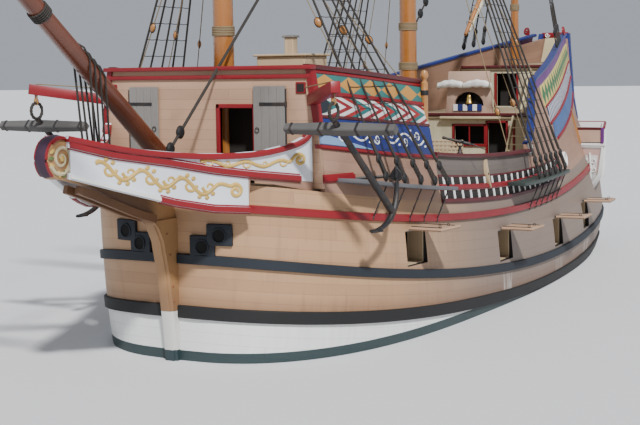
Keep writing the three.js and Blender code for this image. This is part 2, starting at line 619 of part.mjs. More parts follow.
const cabinFoot = footing(deckTop, HALF_DECK_FRONT + BULKHEAD / 2, BULKHEAD / 2);
const cabinTop = halfDeckUnder(HALF_DECK_FRONT) - GAP;
add('half_deck_bulkhead', plateXZ(outline(
  wallEdge(HALF_DECK_FRONT, [cabinFoot, 3900, cabinTop], WALL + DECK_EDGE),
  [rectangle(-480, 520, 3780, 4330), rectangle(640, 1240, cabinFoot + 60, 4430)],
), HALF_DECK_FRONT, BULKHEAD), 'cream');

const poopFoot = footing(halfDeckUnder, POOP_FRONT + BULKHEAD / 2, BULKHEAD / 2) + PLANK;
const poopHead = poopUnder(POOP_FRONT) - GAP;
add('poop_bulkhead', plateXZ(outline(
  wallEdge(POOP_FRONT, [poopFoot, 5400, poopHead], WALL + DECK_EDGE),
  [rectangle(-350, 350, poopFoot + 50, poopHead - 120)],
), POOP_FRONT, BULKHEAD), 'cream');

// Belfry on the edge of the half deck: a panel with an arch.
const BELFRY_THICK = 130;
const belfryFoot = footing(halfDeckUnder, HALF_DECK_FRONT + BELFRY_THICK / 2, BELFRY_THICK / 2) + PLANK;
const ARCH = Array.from({ length: 9 }, (_, i) => {
  const angle = Math.PI * (i / 8);
  return [500 * Math.cos(angle), belfryFoot + 320 + 430 * Math.sin(angle)];
});
add('belfry', plateXZ(outline([
  [-780, belfryFoot], [780, belfryFoot], [680, belfryFoot + 1380], [-680, belfryFoot + 1380],
], [ARCH.toReversed()]), HALF_DECK_FRONT, BELFRY_THICK), 'tan');

// Beakhead: platform, and on each side three rails with panels between them.
// Columns: y, height of the underside of the rail.
const LOWER_RAIL = [[-14680, 4130], [-13890, 3865], [-12700, 3480], [-11950, 3310], [-11230, 3235]];
const MIDDLE_RAIL = [
  [-14680, 4720], [-13870, 4480], [-12780, 4270], [-11930, 4080], [-11180, 3950], [-10110, 3800]];
const TOP_RAIL = [
  [-14680, 4830], [-13500, 4540], [-12390, 4390], [-11580, 4350], [-10960, 4370], [-10310, 4490],
  [-9990, 4640], [-9850, 4860]];
const railBottom = [-9850, hullTop(-9850) + 3];
const raised = (line, rise) => line.map(([y, z]) => [y, z + rise]);
const skinPoints = [
  [-14640, 4180], ...raised(LOWER_RAIL.slice(1), 50), [-11190, 3900], railBottom,
  ...raised(TOP_RAIL.slice(1), 50).toReversed(), [-14640, 4890]];
function headPlate(points, thick) {
  const plate = plateYZ(outline(points), -thick / 2, thick);
  const lean = Math.atan(0.51);
  plate.applyMatrix4(new THREE.Matrix4().makeScale(1, 1 / Math.cos(lean), 1));
  return plate.translate(0, 14700 / Math.cos(lean), 0).rotateZ(-lean).translate(200, -14700, 0);
}
const rails = [[LOWER_RAIL, 120], [MIDDLE_RAIL, 130], [TOP_RAIL, 110]].map(([line, high]) => (
  headPlate([...line, ...raised(line, high).toReversed()], RAIL_THICK)));
const forecastleFrontClear = box(-3000, 3000, forecastleFace - 2, -9000, 3000, 6300);
const scrollClear = box(-SCROLL_HALF - 1, SCROLL_HALF + 1, -15500, -14000, 3000, 6000);
const headSide = cut(
  join(headPlate(skinPoints, HEAD_SKIN), ...rails), moved(hullBlank, 1, -1, 1),
  forecastleFrontClear, scrollClear,
  deckPlate(mainDeckPoints.map(([x, y, z]) => [x + 1, y, z - 40]), PLANK + 41));
addPair('head_side', headSide, 'white');
const beakYs = steps(-14250, -11720, 3);
add('beakhead_deck', deckPlate(beakYs.map((y) => [headInner(y) - 65, y, headDeckUnder(y)])), 'weathered');

// Channels: shelves on the side that spread the shrouds.
const CHANNEL_WIDE = 550;
const CHANNEL_THICK = 90;
const channelZ = (y) => 3010 + 1000 * sheer(y);

function channel(ys, walls) {
  const grid = (lift) => ys.map((y) => {
    const z = channelZ(y);
    const x = halfBreadth(y, z);
    return [[x - WALL / 2, y, z + lift], [x + CHANNEL_WIDE, y, z + lift]];
  });
  return cut(slab(grid(0), grid(CHANNEL_THICK)), ...walls.map((wall) => moved(wall, GAP, 0, 0)));
}
addPair('fore_channel', channel(steps(-9450, -5400, 5), [forecastleWall]), 'black');
addPair('main_channel', channel(steps(-1200, 3300, 5), [waistWall, quarterWall]), 'black');

// Catheads: beams that point forward and outboard from the forecastle corners, with a hanger for the anchor.
const CATHEAD = { wide: 200, high: 230 };
const CATHEAD_TIP = [3950, -11050, 5770];
const HANGER = { x: 3840, y: -10940, r: 35, foot: 5490 };
const cathead = join(
  cut(beam([2500, -9600, 5450], CATHEAD_TIP, CATHEAD.wide, CATHEAD.high),
    box(1500, 4000, forecastleFace - GAP, -8000, 4500, 6500)),
  rod([HANGER.x, HANGER.y, 5740], [HANGER.x, HANGER.y, HANGER.foot], HANGER.r, HANGER.r, 8),
);
addPair('cathead', cathead, 'red');

// Anchor: ring, wooden stock athwart, shank running aft along the side, two arms with palms.
const ANCHOR = { ring: 180, ringBar: 30, stockHalf: 1250, stock: 220, shank: 80, arm: 65, palm: 270 };
const ringMid = HANGER.foot - GAP - ANCHOR.ring - ANCHOR.ringBar;
const anchorEye = [HANGER.x, HANGER.y + 20, ringMid - ANCHOR.ring];
const crown = [HANGER.x + 110, -8650, 3080];
const shankRun = new THREE.Vector3(...crown).sub(new THREE.Vector3(...anchorEye)).normalize();
const armSide = new THREE.Vector3(0, -shankRun.z, shankRun.y).normalize();
const armTip = (side, reach) => new THREE.Vector3(...crown)
  .addScaledVector(shankRun, -0.5 * reach).addScaledVector(armSide, side * 0.86 * reach).toArray();
const anchorRing = new THREE.TorusGeometry(ANCHOR.ring, ANCHOR.ringBar, 6, 14)
  .rotateY(Math.PI / 2).translate(HANGER.x, HANGER.y, ringMid);
const stockMid = new THREE.Vector3(...anchorEye).addScaledVector(shankRun, 260);
const anchor = join(
  anchorRing,
  rod(anchorEye, crown, ANCHOR.shank * 0.8, ANCHOR.shank, 8),
  box(stockMid.x - ANCHOR.stockHalf, stockMid.x + ANCHOR.stockHalf, stockMid.y - ANCHOR.stock / 2,
    stockMid.y + ANCHOR.stock / 2, stockMid.z - ANCHOR.stock / 2, stockMid.z + ANCHOR.stock / 2),
  ...[-1, 1].flatMap((side) => [
    rod(crown, armTip(side, 1000), ANCHOR.shank, ANCHOR.arm * 0.6, 8),
    beam(armTip(side, 680), armTip(side, 980), ANCHOR.palm, 50),
  ]),
);
addPair('anchor', anchor, 'iron');

// Bowsprit, rising forward over the stem, with the chock that the spritsail yard hangs from.
const BOWSPRIT = { slope: 0.798, r0: 220, r1: 110, heelY: -10300, tipY: -23200 };
const bowspritZ = (y) => 4830 + (-12070 - y) * BOWSPRIT.slope;
const underDeck = deckPlate(mainDeckPoints.map(([x, y, z]) => [x + 500, y, z - 3000]), 3000 + PLANK + GAP);
const SPRIT_Y = -17800;
const chockZ = bowspritZ(SPRIT_Y) - 340;
const bowspritPole = rod([0, BOWSPRIT.heelY, bowspritZ(BOWSPRIT.heelY)],
  [0, BOWSPRIT.tipY, bowspritZ(BOWSPRIT.tipY)], BOWSPRIT.r0, BOWSPRIT.r1, 14);
const bowsprit = join(
  cut(bowspritPole, underDeck, moved(hullBlank, 0, 0, GAP)),
  box(-100, 100, SPRIT_Y - 100, SPRIT_Y + 100, chockZ, chockZ + 260));
add('bowsprit', bowsprit, 'bowsprit');

// Yards. A spar is thickest in the middle; a ring round the mast lets it brace round.
const spar = (half, r) => turned([[0, -half], [r * 0.5, -half], [r, 0], [r * 0.5, half], [0, half]], 8);
const RING_WALL = 60;
const RING_HIGH = 150;
const JAW_OUT = 20;              // between the ring and the spar, so that the spar clears the collar

function mastYard(mast, mastY, z, half, r) {
  const inner = mastRadius(mast, z) + RUN_GAP;
  const out = inner + RING_WALL + JAW_OUT + r;
  return join(
    ring(inner, inner + RING_WALL, z + GAP, z + RING_HIGH, 14, 0, mastY),
    box(-r, r, mastY - out, mastY - inner - 25, z + 10, z + RING_HIGH - 10),
    spar(half, r).rotateY(Math.PI / 2).translate(0, mastY - out, z + RING_HIGH / 2),
  );
}
add('fore_yard', mastYard(FORE, MAST_Y.fore, foreYardZ, 5600, 140), 'mast');
add('main_yard', mastYard(MAIN, MAST_Y.main, mainYardZ, 7200, 165), 'mast');
add('fore_topsail_yard', mastYard(foreTopmast, MAST_Y.fore - DOUBLING, foreTopsailZ, 3100, 90), 'mast');
add('main_topsail_yard', mastYard(mainTopmast, MAST_Y.main - DOUBLING, mainTopsailZ, 3900, 100), 'mast');

const LATEEN = { half: 5100, r: 105, slope: Math.PI / 4, forward: 400 };
const lateenInner = mastRadius(MIZZEN, mizzenYardZ) + RUN_GAP;
const lateen = spar(LATEEN.half, LATEEN.r).translate(0, 0, LATEEN.forward).rotateX(-LATEEN.slope)
  .translate(-(lateenInner + RING_WALL + JAW_OUT + LATEEN.r), MAST_Y.mizzen, mizzenYardZ + RING_HIGH / 2);
add('mizzen_yard', join(
  ring(lateenInner, lateenInner + RING_WALL, mizzenYardZ + GAP, mizzenYardZ + RING_HIGH, 14, 0,
    MAST_Y.mizzen),
  box(-lateenInner - RING_WALL - JAW_OUT - LATEEN.r, -lateenInner - 25, MAST_Y.mizzen - 60, MAST_Y.mizzen + 60,
    mizzenYardZ + 10, mizzenYardZ + RING_HIGH - 10),
  lateen,
), 'mast');

const spritZ = chockZ - 320;
add('spritsail_yard', join(
  spar(4100, 105).rotateY(Math.PI / 2).translate(0, SPRIT_Y, spritZ),
  rod([0, SPRIT_Y, spritZ], [0, SPRIT_Y, chockZ - GAP], 40, 40, 8),
), 'bowsprit');

// Main stays.
const STAY_R = 34;
const foreStay = cut(
  rod([0, MAST_Y.fore, 12450], [0, -16200, bowspritZ(-16200)], STAY_R, STAY_R, 6),
  mastPole(FORE, MAST_Y.fore, [foreYardZ, foreTopZ - GAP], GAP), moved(bowspritPole, 0, 0, GAP));
add('fore_stay', foreStay, 'rope');
const STAY_FOOT = [494, -12735, 3700];
const beakClear = deckPlate(
  beakYs.map((y) => [headInner(y), y, headDeckUnder(y) - 2000]), 2000 + PLANK + GAP);
const mainStay = cut(
  rod([0, MAST_Y.main, 14900], STAY_FOOT, STAY_R, STAY_R, 6),
  mastPole(MAIN, MAST_Y.main, [mainYardZ, mainTopZ - GAP], GAP), beakClear);
add('main_stay', mainStay, 'rope');
const mizzenStay = cut(
  rod([0, MAST_Y.mizzen, 14600], [0, MAST_Y.main, 6900], STAY_R * 0.8, STAY_R * 0.8, 6),
  mastPole(MAIN, MAST_Y.main, [mainYardZ, mainTopZ - GAP], GAP),
  mastPole(MIZZEN, MAST_Y.mizzen, [mizzenYardZ], GAP));
add('mizzen_stay', mizzenStay, 'rope');

// Gallery round the stern: closed and tapering below, an open walk above.
// Columns: height, half width forward and aft, forward face, after face.
const GALLERY = [
  [1850, 2350, 1750, 8950, 11500], [2520, 2880, 1850, 8620, 12000], [3560, 3000, 1700, 8500, 12500],
  [4150, 2980, 1680, 8480, 12600]];
const GALLERY_WALL = 80;
const WALK_Z = 3640;
const galleryFace = (half, along) => (
  GALLERY.map((row) => [-1, 1].map((side) => [side * row[half], row[along], row[0]])));
const walkFace = (half, y) => (
  [WALK_Z, 5000].map((z) => [-1, 1].map((side) => [side * (half - GALLERY_WALL * 1.1), y, z])));
const blankYs = [...quarterYs.filter((y) => y > 7000), Infinity];
const blankRows = [
  (y) => hullTop(y) - PLANK, ...steps(0, 1, 6).map((t) => (y) => lerp(onHull(y), quarterTop(y), t)),
  (y) => quarterTop(y) + PLANK];
const blankSide = (side) => blankYs.map((station, i) => blankRows.map((height) => {
  const last = i > blankYs.length - 3;
  let y = Math.min(station, quarterYs.at(-1));
  let z = height(y);
  for (let pass = 0; last && pass < 6; pass += 1) {
    y = sternY(z);
    z = height(y);
  }
  return [side * (halfBreadth(y, z) + 1), station === Infinity ? y + TRANSOM_THICK + 1 : y, z];
}));
const quarterBlank = slab(blankSide(1), blankSide(-1));
const gallery = cut(
  slab(galleryFace(1, 3), galleryFace(2, 4)), quarterBlank,
  ...[[-1, 0, 0], [1, 0, 0], [0, 0, 1], [0, 0, -1], [0, TRANSOM_THICK + 1, 0]]
    .map((shift) => moved(hullBlank, ...shift)),
  box(-1500, 1500, 10000, 13500, 0, 3480),
  slab(walkFace(2960, 8500 + GALLERY_WALL), walkFace(1730, 12500 - GALLERY_WALL)),
);
add('stern_gallery', gallery, 'white');

export default ship;
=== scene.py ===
"""The looks of a three-masted merchant ship of the early 17th century.

Metres. The bow points towards -Y, port is +X, up is +Z and the origin is amidships at the waterline.
"""

import json
import logging
import math
from dataclasses import dataclass, field
from enum import Enum
from typing import Callable, Sequence, Union

import bmesh
import bpy
from mathutils import Matrix, Vector


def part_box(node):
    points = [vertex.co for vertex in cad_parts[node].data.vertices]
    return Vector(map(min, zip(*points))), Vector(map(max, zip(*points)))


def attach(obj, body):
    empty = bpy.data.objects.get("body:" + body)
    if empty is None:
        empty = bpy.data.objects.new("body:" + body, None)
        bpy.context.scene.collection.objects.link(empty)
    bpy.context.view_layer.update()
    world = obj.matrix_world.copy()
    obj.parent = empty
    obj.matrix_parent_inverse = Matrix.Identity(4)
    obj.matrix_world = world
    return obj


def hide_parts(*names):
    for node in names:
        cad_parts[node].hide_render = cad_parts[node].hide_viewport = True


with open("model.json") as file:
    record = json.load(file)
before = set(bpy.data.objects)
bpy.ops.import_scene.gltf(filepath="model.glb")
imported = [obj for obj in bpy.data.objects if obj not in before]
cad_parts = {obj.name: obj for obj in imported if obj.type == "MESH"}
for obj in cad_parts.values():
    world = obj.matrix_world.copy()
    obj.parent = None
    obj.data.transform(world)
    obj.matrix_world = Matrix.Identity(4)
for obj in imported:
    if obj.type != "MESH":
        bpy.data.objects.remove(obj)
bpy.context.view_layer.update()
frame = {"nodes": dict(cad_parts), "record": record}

LOG = logging.getLogger("ship")
SHIP = "ship"
PORT, STARBOARD = 1.0, -1.0
SIDES = (("port", PORT), ("stbd", STARBOARD))
ABEAM = Vector((1.0, 0.0, 0.0))
AFT = Vector((0.0, 1.0, 0.0))
UP = Vector((0.0, 0.0, 1.0))
UV_NAME = "along"

Height = Callable[[float], float]
Place3 = Callable[[float, float, float], Vector]


def lerp(a: float, b: float, t: float) -> float:
    """Go from a to b as t goes from 0 to 1."""
    return a + (b - a) * t


def steps(start: float, end: float, count: int) -> list[float]:
    """Return count + 1 even steps from start to end."""
    return [lerp(start, end, i / count) for i in range(count + 1)]


def along(points: Sequence[tuple[float, float]], x: float) -> float:
    """Read a broken line at x.

    Args:
        points: Pairs of x and value, in the order of x.
        x: Where to read the line.

    Returns:
        The value on the line, held level beyond its ends.
    """
    if x <= points[0][0]:
        return points[0][1]
    for (x0, y0), (x1, y1) in zip(points, points[1:]):
        if x <= x1:
            return lerp(y0, y1, (x - x0) / (x1 - x0))
    return points[-1][1]


@dataclass(frozen=True)
class HullLines:
    """The shape of the ship's side, as in the solid model."""

    keel_half: float = 0.13
    keel_z: float = -3.15
    max_half: float = 3.79
    wide_z: float = 0.7
    tumblehome: float = 0.43
    tumblehome_rise: float = 3.3
    mid_y: float = -2.0
    stem_y: float = -11.2
    forefoot: float = 2.3
    stern_y: float = 10.9
    stern_rake: float = 0.16
    low_y: float = 0.5
    sheer_length: float = 11.6
    transom: tuple[tuple[float, float], ...] = (
        (-1.5, 0.13), (-0.7, 0.7), (0.0, 1.6), (0.7, 1.95), (1.5, 2.05),
        (3.0, 1.8), (3.6, 1.4), (4.2, 1.0), (5.0, 0.8), (7.2, 0.5), (8.2, 0.45),
    )

    def sheer(self, y: float) -> float:
        """Return the share of the sheer at y: 0 amidships and about 1 at the stem."""
        return ((y - self.low_y) / self.sheer_length) ** 2

    def stem(self, z: float) -> float:
        """Return y of the stem's rabbet at a height."""
        return self.stem_y + self.forefoot * (max(-z, 0.0) / -self.keel_z) ** 2.2

    def stern(self, z: float) -> float:
        """Return y of the flat stern at a height."""
        return self.stern_y + self.stern_rake * z

    def midship_half(self, z: float) -> float:
        """Return the half breadth of the fullest section."""
        if z > self.wide_z:
            return self.max_half - self.tumblehome * ((z - self.wide_z) / self.tumblehome_rise) ** 1.5
        depth = min((self.wide_z - z) / (self.wide_z - self.keel_z), 1.0)
        return self.keel_half + (self.max_half - self.keel_half) * (1.0 - depth ** 3) ** 0.6

    def half(self, y: float, z: float) -> float:
        """Return the half breadth of the side at a place and height."""
        wide = self.midship_half(z)
        above, below = max(z, 0.0), min(z, 0.0)
        if y < self.mid_y:
            run = min((self.mid_y - y) / (self.mid_y - self.stem(z)), 1.0)
            bluff = 3.4 + 0.45 * above + 0.3 * below
            rounding = 2.5 + 0.05 * above + 0.04 * above ** 2 + 0.3 * below
            return self.keel_half + (wide - self.keel_half) * (1.0 - run ** bluff) ** (1.0 / rounding)
        run = min((y - self.mid_y) / (self.stern(z) - self.mid_y), 1.0)
        aft = min(along(self.transom, z), wide)
        fine = 1.7 - 0.1 * min(above, 4.2) + 0.72 * min(max((above - 3.0) / 1.2, 0.0), 1.0)
        rounding = 1.5 - 0.1 * above + 0.35 * below
        return aft + (wide - aft) * (1.0 - run ** fine) ** (1.0 / rounding)

    def on_side(self, side: float, y: float, z: float, proud: float = 0.0) -> Vector:
        """Return the point on a side at y and z, standing proud of it along its normal.

        Args:
            side: PORT or STARBOARD.
            y: Place along the ship.
            z: Height.
            proud: Distance out from the side.

        Returns:
            The point.
        """
        point = Vector((side * self.half(y, z), y, z))
        return point + self.normal(side, y, z) * proud if proud else point

    def normal(self, side: float, y: float, z: float) -> Vector:
        """Return the outward normal of a side at y and z."""
        e = 0.02
        along_y = (self.half(y + e, z) - self.half(y - e, z)) / (2 * e)
        along_z = (self.half(y, z + e) - self.half(y, z - e)) / (2 * e)
        return Vector((side, -max(min(along_y, 8.0), -8.0), -along_z)).normalized()


LINES = HullLines()


def deck_top(y: float) -> float:
    """Return the height of the main deck."""
    return 2.8 + 1.05 * LINES.sheer(y)


def hull_edge(y: float) -> float:
    """Return the height of the hull's upper edge, where the topside walls start."""
    return 2.74 + 1.05 * LINES.sheer(y)


def waist_cap(y: float) -> float:
    """Return the top of the waist bulwark."""
    return 3.82 + 1.15 * LINES.sheer(y)


def forecastle_cap(y: float) -> float:
    """Return the top of the forecastle's side."""
    return 6.18 - 0.083 * (y + 9.72)


def quarter_cap(y: float) -> float:
    """Return the top of the quarter's side: a steep hance, then a gentle climb to the stern."""
    t = min(max((y - 1.0) / 2.3, 0.0), 1.0)
    return 5.8 + 0.178 * (y - 3.3) if y > 3.3 else 4.0 + 1.8 * t * t * (3.0 - 2.0 * t)


def channel_z(y: float) -> float:
    """Return the underside of the channels."""
    return 3.01 + LINES.sheer(y)


Number = Union[float, "Wire"]


def operation(name: str, flipped: bool = False) -> Callable[..., "Wire"]:
    """Return a method that adds a Math node on a wire and on what it is given.

    Args:
        name: The Math node's operation.
        flipped: Whether the wire comes last, as in a reflected operator.

    Returns:
        The method.
    """
    def apply(self: "Wire", *others: Number) -> "Wire":
        return self.graph.math(name, *((*others, self) if flipped else (self, *others)))
    return apply


class Wire:
    """A socket of a node, so that arithmetic on it adds Math nodes."""

    __add__ = __radd__ = operation("ADD")
    __mul__ = __rmul__ = operation("MULTIPLY")
    __sub__, __rsub__ = operation("SUBTRACT"), operation("SUBTRACT", flipped=True)
    __truediv__, __rtruediv__ = operation("DIVIDE"), operation("DIVIDE", flipped=True)
    __gt__, __lt__ = operation("GREATER_THAN"), operation("LESS_THAN")
    floor, fract, size, least = (operation(name) for name in ("FLOOR", "FRACT", "ABSOLUTE", "MINIMUM"))

    def __init__(self, graph: "Graph", socket: bpy.types.NodeSocket) -> None:
        """Keep the socket and the graph that it belongs to."""
        self.graph = graph
        self.socket = socket

    def other(self, name: str) -> "Wire":
        """Return another output of the same node."""
        return Wire(self.graph, self.socket.node.outputs[name])

    def fold(self, half: float = 0.5) -> "Wire":
        """Go up and down between 0 and half as this grows."""
        return self.graph.math("PINGPONG", self, half)

    def ramp(self, low: float, high: float) -> "Wire":
        """Go smoothly from 0 at low to 1 at high."""
        settings = {"interpolation_type": "SMOOTHSTEP"}
        inputs = {"Value": self, "From Min": low, "From Max": high}
        return self.graph.node("ShaderNodeMapRange", settings, inputs)


Colour = tuple[float, float, float]
Tint = Union[Colour, Wire]


class Graph:
    """The nodes of one material."""

    def __init__(self, name: str) -> None:
        """Start an empty material with the given name."""
        self.material = bpy.data.materials.new(name)
        self.material.use_nodes = True
        self.nodes = self.material.node_tree.nodes
        self.nodes.clear()

    def node(self, kind: str, settings: dict | None = None, inputs: dict | None = None,
             output: str | int = 0) -> Wire:
        """Add a node.

        Args:
            kind: The node's type.
            settings: Its own properties.
            inputs: Values or wires for its sockets, by name or index.
            output: Which output to return.

        Returns:
            The chosen output.
        """
        made = self.nodes.new(kind)
        for key, value in (settings or {}).items():
            setattr(made, key, value)
        for key, value in (inputs or {}).items():
            self.feed(made.inputs[key], value)
        return Wire(self, made.outputs[output])

    def feed(self, socket: bpy.types.NodeSocket, value: object) -> None:
        """Link a wire to a socket, or set the socket's own value."""
        if isinstance(value, Wire):
            self.material.node_tree.links.new(value.socket, socket)
        elif isinstance(value, tuple) and socket.type == "RGBA":
            socket.default_value = (*value, 1.0)
        else:
            socket.default_value = value

    def math(self, operation: str, *values: Number) -> Wire:
        """Add a Math node on one or two values."""
        return self.node("ShaderNodeMath", {"operation": operation}, dict(enumerate(values)))

    def mix(self, low: Tint, high: Tint, share: Number) -> Wire:
        """Blend two colours by a share."""
        settings = {"data_type": "RGBA"}
        return self.node("ShaderNodeMix", settings, {0: share, 6: low, 7: high}, output=2)

    def shade(self, colour: Tint, amount: Number) -> Wire:
        """Darken or lighten a colour by a factor."""
        grey = self.node("ShaderNodeCombineColor", None, {0: amount, 1: amount, 2: amount})
        settings = {"data_type": "RGBA", "blend_type": "MULTIPLY"}
        return self.node("ShaderNodeMix", settings, {0: 1.0, 6: colour, 7: grey}, output=2)

    def place(self) -> Wire:
        """Return the point in the ship's frame."""
        return self.node("ShaderNodeTexCoord", output="Object")

    def xyz(self, vector: Wire) -> tuple[Wire, Wire, Wire]:
        """Split a vector in its three parts."""
        split = self.node("ShaderNodeSeparateXYZ", None, {0: vector})
        return split, split.other("Y"), split.other("Z")

    def uv(self) -> tuple[Wire, Wire]:
        """Return the distance along and across a piece, from its UV map."""
        u, v, _ = self.xyz(self.node("ShaderNodeUVMap", {"uv_map": UV_NAME}))
        return u, v

    def vector(self, x: Number, y: Number, z: Number = 0.0) -> Wire:
        """Join three values to a vector."""
        return self.node("ShaderNodeCombineXYZ", None, {0: x, 1: y, 2: z})

    def noise(self, vector: Wire, scale: float, detail: float = 3.0, rough: float = 0.5) -> Wire:
        """Return noise between 0 and 1."""
        inputs = {"Vector": vector, "Scale": scale, "Detail": detail, "Roughness": rough}
        return self.node("ShaderNodeTexNoise", None, inputs)

    def chance(self, x: Number, y: Number) -> Wire:
        """Return one random value for each pair of whole numbers."""
        return self.node("ShaderNodeTexWhiteNoise", {"noise_dimensions": "2D"}, {0: self.vector(x, y)})

    def bump(self, height: Number, strength: float, depth: float) -> Wire:
        """Turn a height between 0 and 1 into a normal."""
        return self.node("ShaderNodeBump", None, {"Height": height, "Strength": strength, "Distance": depth})

    def finish(self, **inputs: object) -> bpy.types.Material:
        """Close the material with a Principled shader.

        Args:
            **inputs: Socket names, with underscores for blanks, and their values.

        Returns:
            The material.
        """
        sockets = {key.replace("_", " "): value for key, value in inputs.items()}
        shader = self.node("ShaderNodeBsdfPrincipled", None, sockets)
        self.feed(self.nodes.new("ShaderNodeOutputMaterial").inputs["Surface"], shader)
        return self.material

@dataclass(frozen=True)
class Finish:
    """A surface finish; its material is made once."""

    name: str

    def material(self) -> bpy.types.Material:
        """Return the finish's material, making it the first time."""
        return bpy.data.materials.get(self.name) or self.paint(Graph(self.name))

    def paint(self, graph: Graph) -> bpy.types.Material:
        """Make the nodes of the finish."""
        raise NotImplementedError


@dataclass(frozen=True)
class TwoTone(Finish):
    """A finish whose colour wanders between two tones."""

    colour: Colour
    second: Colour


def planking(graph: Graph, u: Wire, v: Wire, plank: float, butt: float, seed: float, seam: float,
             end_seam: float) -> tuple[Wire, Wire]:
    """Divide a surface into planks.

    Args:
        graph: The material's nodes.
        u: The distance along the grain.
        v: The distance across it.
        plank: The planks' width.
        butt: Their length.
        seed: What sets one pattern of lengths apart from another.
        seam: The width over which a long seam closes.
        end_seam: The same for the planks' ends.

    Returns:
        One random value for each plank, and 0 in the seams with 1 elsewhere.
    """
    row = (v / plank).floor()
    edge = (v / plank).fold() * plank
    step = u / butt + graph.chance(row, seed)
    end = step.fold() * butt
    tone = graph.chance(row, step.floor())
    return tone, edge.ramp(0.0, seam).least(end.ramp(0.0, end_seam))


@dataclass(frozen=True)
class Timber(TwoTone):
    """Wood that is bare, oiled, varnished or painted, with or without plank seams."""

    rough: float = 0.6
    plank: float = 0.0
    butt: float = 5.0
    seam: float = 0.35
    streak: float = 0.35
    coat: float = 0.0
    relief: float = 0.25
    dirt: float = 0.2

    def paint(self, graph: Graph) -> bpy.types.Material:
        """Make grain, planks, seams and dirt."""
        u, v = graph.uv()
        fibre = graph.noise(graph.vector(u * 1.2, v * 45.0), 1.0, 4.0, 0.6)
        cloud = graph.noise(graph.place(), 0.9, 3.0)
        share = (fibre - 0.5) * self.streak + (cloud - 0.5) * 0.5 + 0.5
        height: Number = fibre * 0.25
        dark: Number = 1.0 - (cloud.ramp(0.45, 0.8) * self.dirt)
        if self.plank:
            tone, open_seam = planking(graph, u, v, self.plank, self.butt, 7.0, 0.006, 0.005)
            share = share + (tone - 0.5) * 0.45
            height = height + open_seam * 0.75
            dark = dark * (1.0 - self.seam * (1.0 - open_seam))
        colour = graph.shade(graph.mix(self.colour, self.second, share), dark)
        rough = (fibre - 0.5) * 0.15 + cloud * 0.12 + (self.rough - 0.06)
        normal = graph.bump(height, self.relief, 0.006)
        return graph.finish(Base_Color=colour, Roughness=rough, Normal=normal, Coat_Weight=self.coat,
                            Coat_Roughness=0.25)


@dataclass(frozen=True)
class Rope(TwoTone):
    """Laid rope: strands that wind round the UV's length."""

    lay: float = 0.05
    around: float = 0.1
    rough: float = 0.85

    def paint(self, graph: Graph) -> bpy.types.Material:
        """Make the strands, the weathering and the painted shade in the grooves between the strands."""
        u, v = graph.uv()
        strand = (u / self.lay + v / self.around * 3.0).fold() * 2.0
        cloud = graph.noise(graph.place(), 3.0, 3.0)
        colour = graph.mix(self.colour, self.second, cloud * 0.7 + strand * 0.3)
        # Painted shade: the colour darkens into the grooves between the strands.
        colour = graph.shade(colour, strand * 0.5 + 0.5)
        return graph.finish(Base_Color=colour, Roughness=self.rough, Normal=graph.bump(strand, 0.6, 0.004))


@dataclass(frozen=True)
class Metal(TwoTone):
    """Cast or wrought metal with a worn skin."""

    rough: float = 0.45
    metal: float = 0.0
    pits: float = 0.3

    def paint(self, graph: Graph) -> bpy.types.Material:
        """Make pits and patches."""
        place = graph.place()
        patch = graph.noise(place, 6.0, 4.0)
        pit = graph.noise(place, 60.0, 3.0, 0.7)
        colour = graph.mix(self.colour, self.second, patch.ramp(0.4, 0.7))
        rough = patch * 0.25 + (self.rough - 0.12)
        return graph.finish(Base_Color=colour, Roughness=rough, Metallic=self.metal,
                            Normal=graph.bump(pit, self.pits, 0.004))


@dataclass(frozen=True)
class Canvas(TwoTone):
    """Sailcloth with its weave, seams and soft stains."""

    rough: float = 0.9
    cloth: float = 0.6

    def paint(self, graph: Graph) -> bpy.types.Material:
        """Make weave, panels and stains."""
        u, v = graph.uv()
        weave = (u * 400.0).fold() * (v * 400.0).fold() * 4.0
        seam = ((u / self.cloth).fold() * self.cloth).ramp(0.0, 0.012)
        stain = graph.noise(graph.place(), 1.4, 4.0)
        colour = graph.mix(self.colour, self.second, stain.ramp(0.35, 0.75))
        colour = graph.shade(colour, seam * 0.15 + 0.85)
        return graph.finish(Base_Color=colour, Roughness=self.rough,
                            Normal=graph.bump(weave * 0.2 + seam * 0.5, 0.35, 0.003))


class Motif(Enum):
    """How a painted band is divided."""

    TRIANGLES = "triangles"
    CHEVRONS = "chevrons"
    STRIPES = "stripes"


@dataclass(frozen=True)
class Band(Finish):
    """A board painted with a pattern; v goes from 0 to 1 across it."""

    motif: Motif
    colours: tuple[Colour, ...]
    pitch: float
    rough: float = 0.5

    def paint(self, graph: Graph) -> bpy.types.Material:
        """Make the pattern and the brush marks."""
        u, v = graph.uv()
        step = u / self.pitch
        first, second = self.colours[0], self.colours[1]
        if self.motif is Motif.TRIANGLES:
            wave = step.fold() * 2.0
            mid = (v - 0.5).size() * 2.0
            colour = graph.mix(first, second, mid > wave)
        elif self.motif is Motif.CHEVRONS:
            shifted = step + (v - 0.5).size()
            pick = shifted.fract() * len(self.colours)
            colour = first
            for i, tint in enumerate(self.colours[1:], 1):
                colour = graph.mix(colour, tint, pick > float(i))
        else:
            colour = graph.mix(first, second, step.fract() > 0.5)
        brush = graph.noise(graph.vector(u * 2.0, v * 30.0), 1.0, 3.0)
        cloud = graph.noise(graph.place(), 2.0, 4.0)
        colour = graph.shade(colour, 1.05 - brush * 0.12 - cloud.ramp(0.5, 0.8) * 0.2)
        return graph.finish(Base_Color=colour, Roughness=brush * 0.2 + (self.rough - 0.1),
                            Normal=graph.bump(brush, 0.12, 0.004))


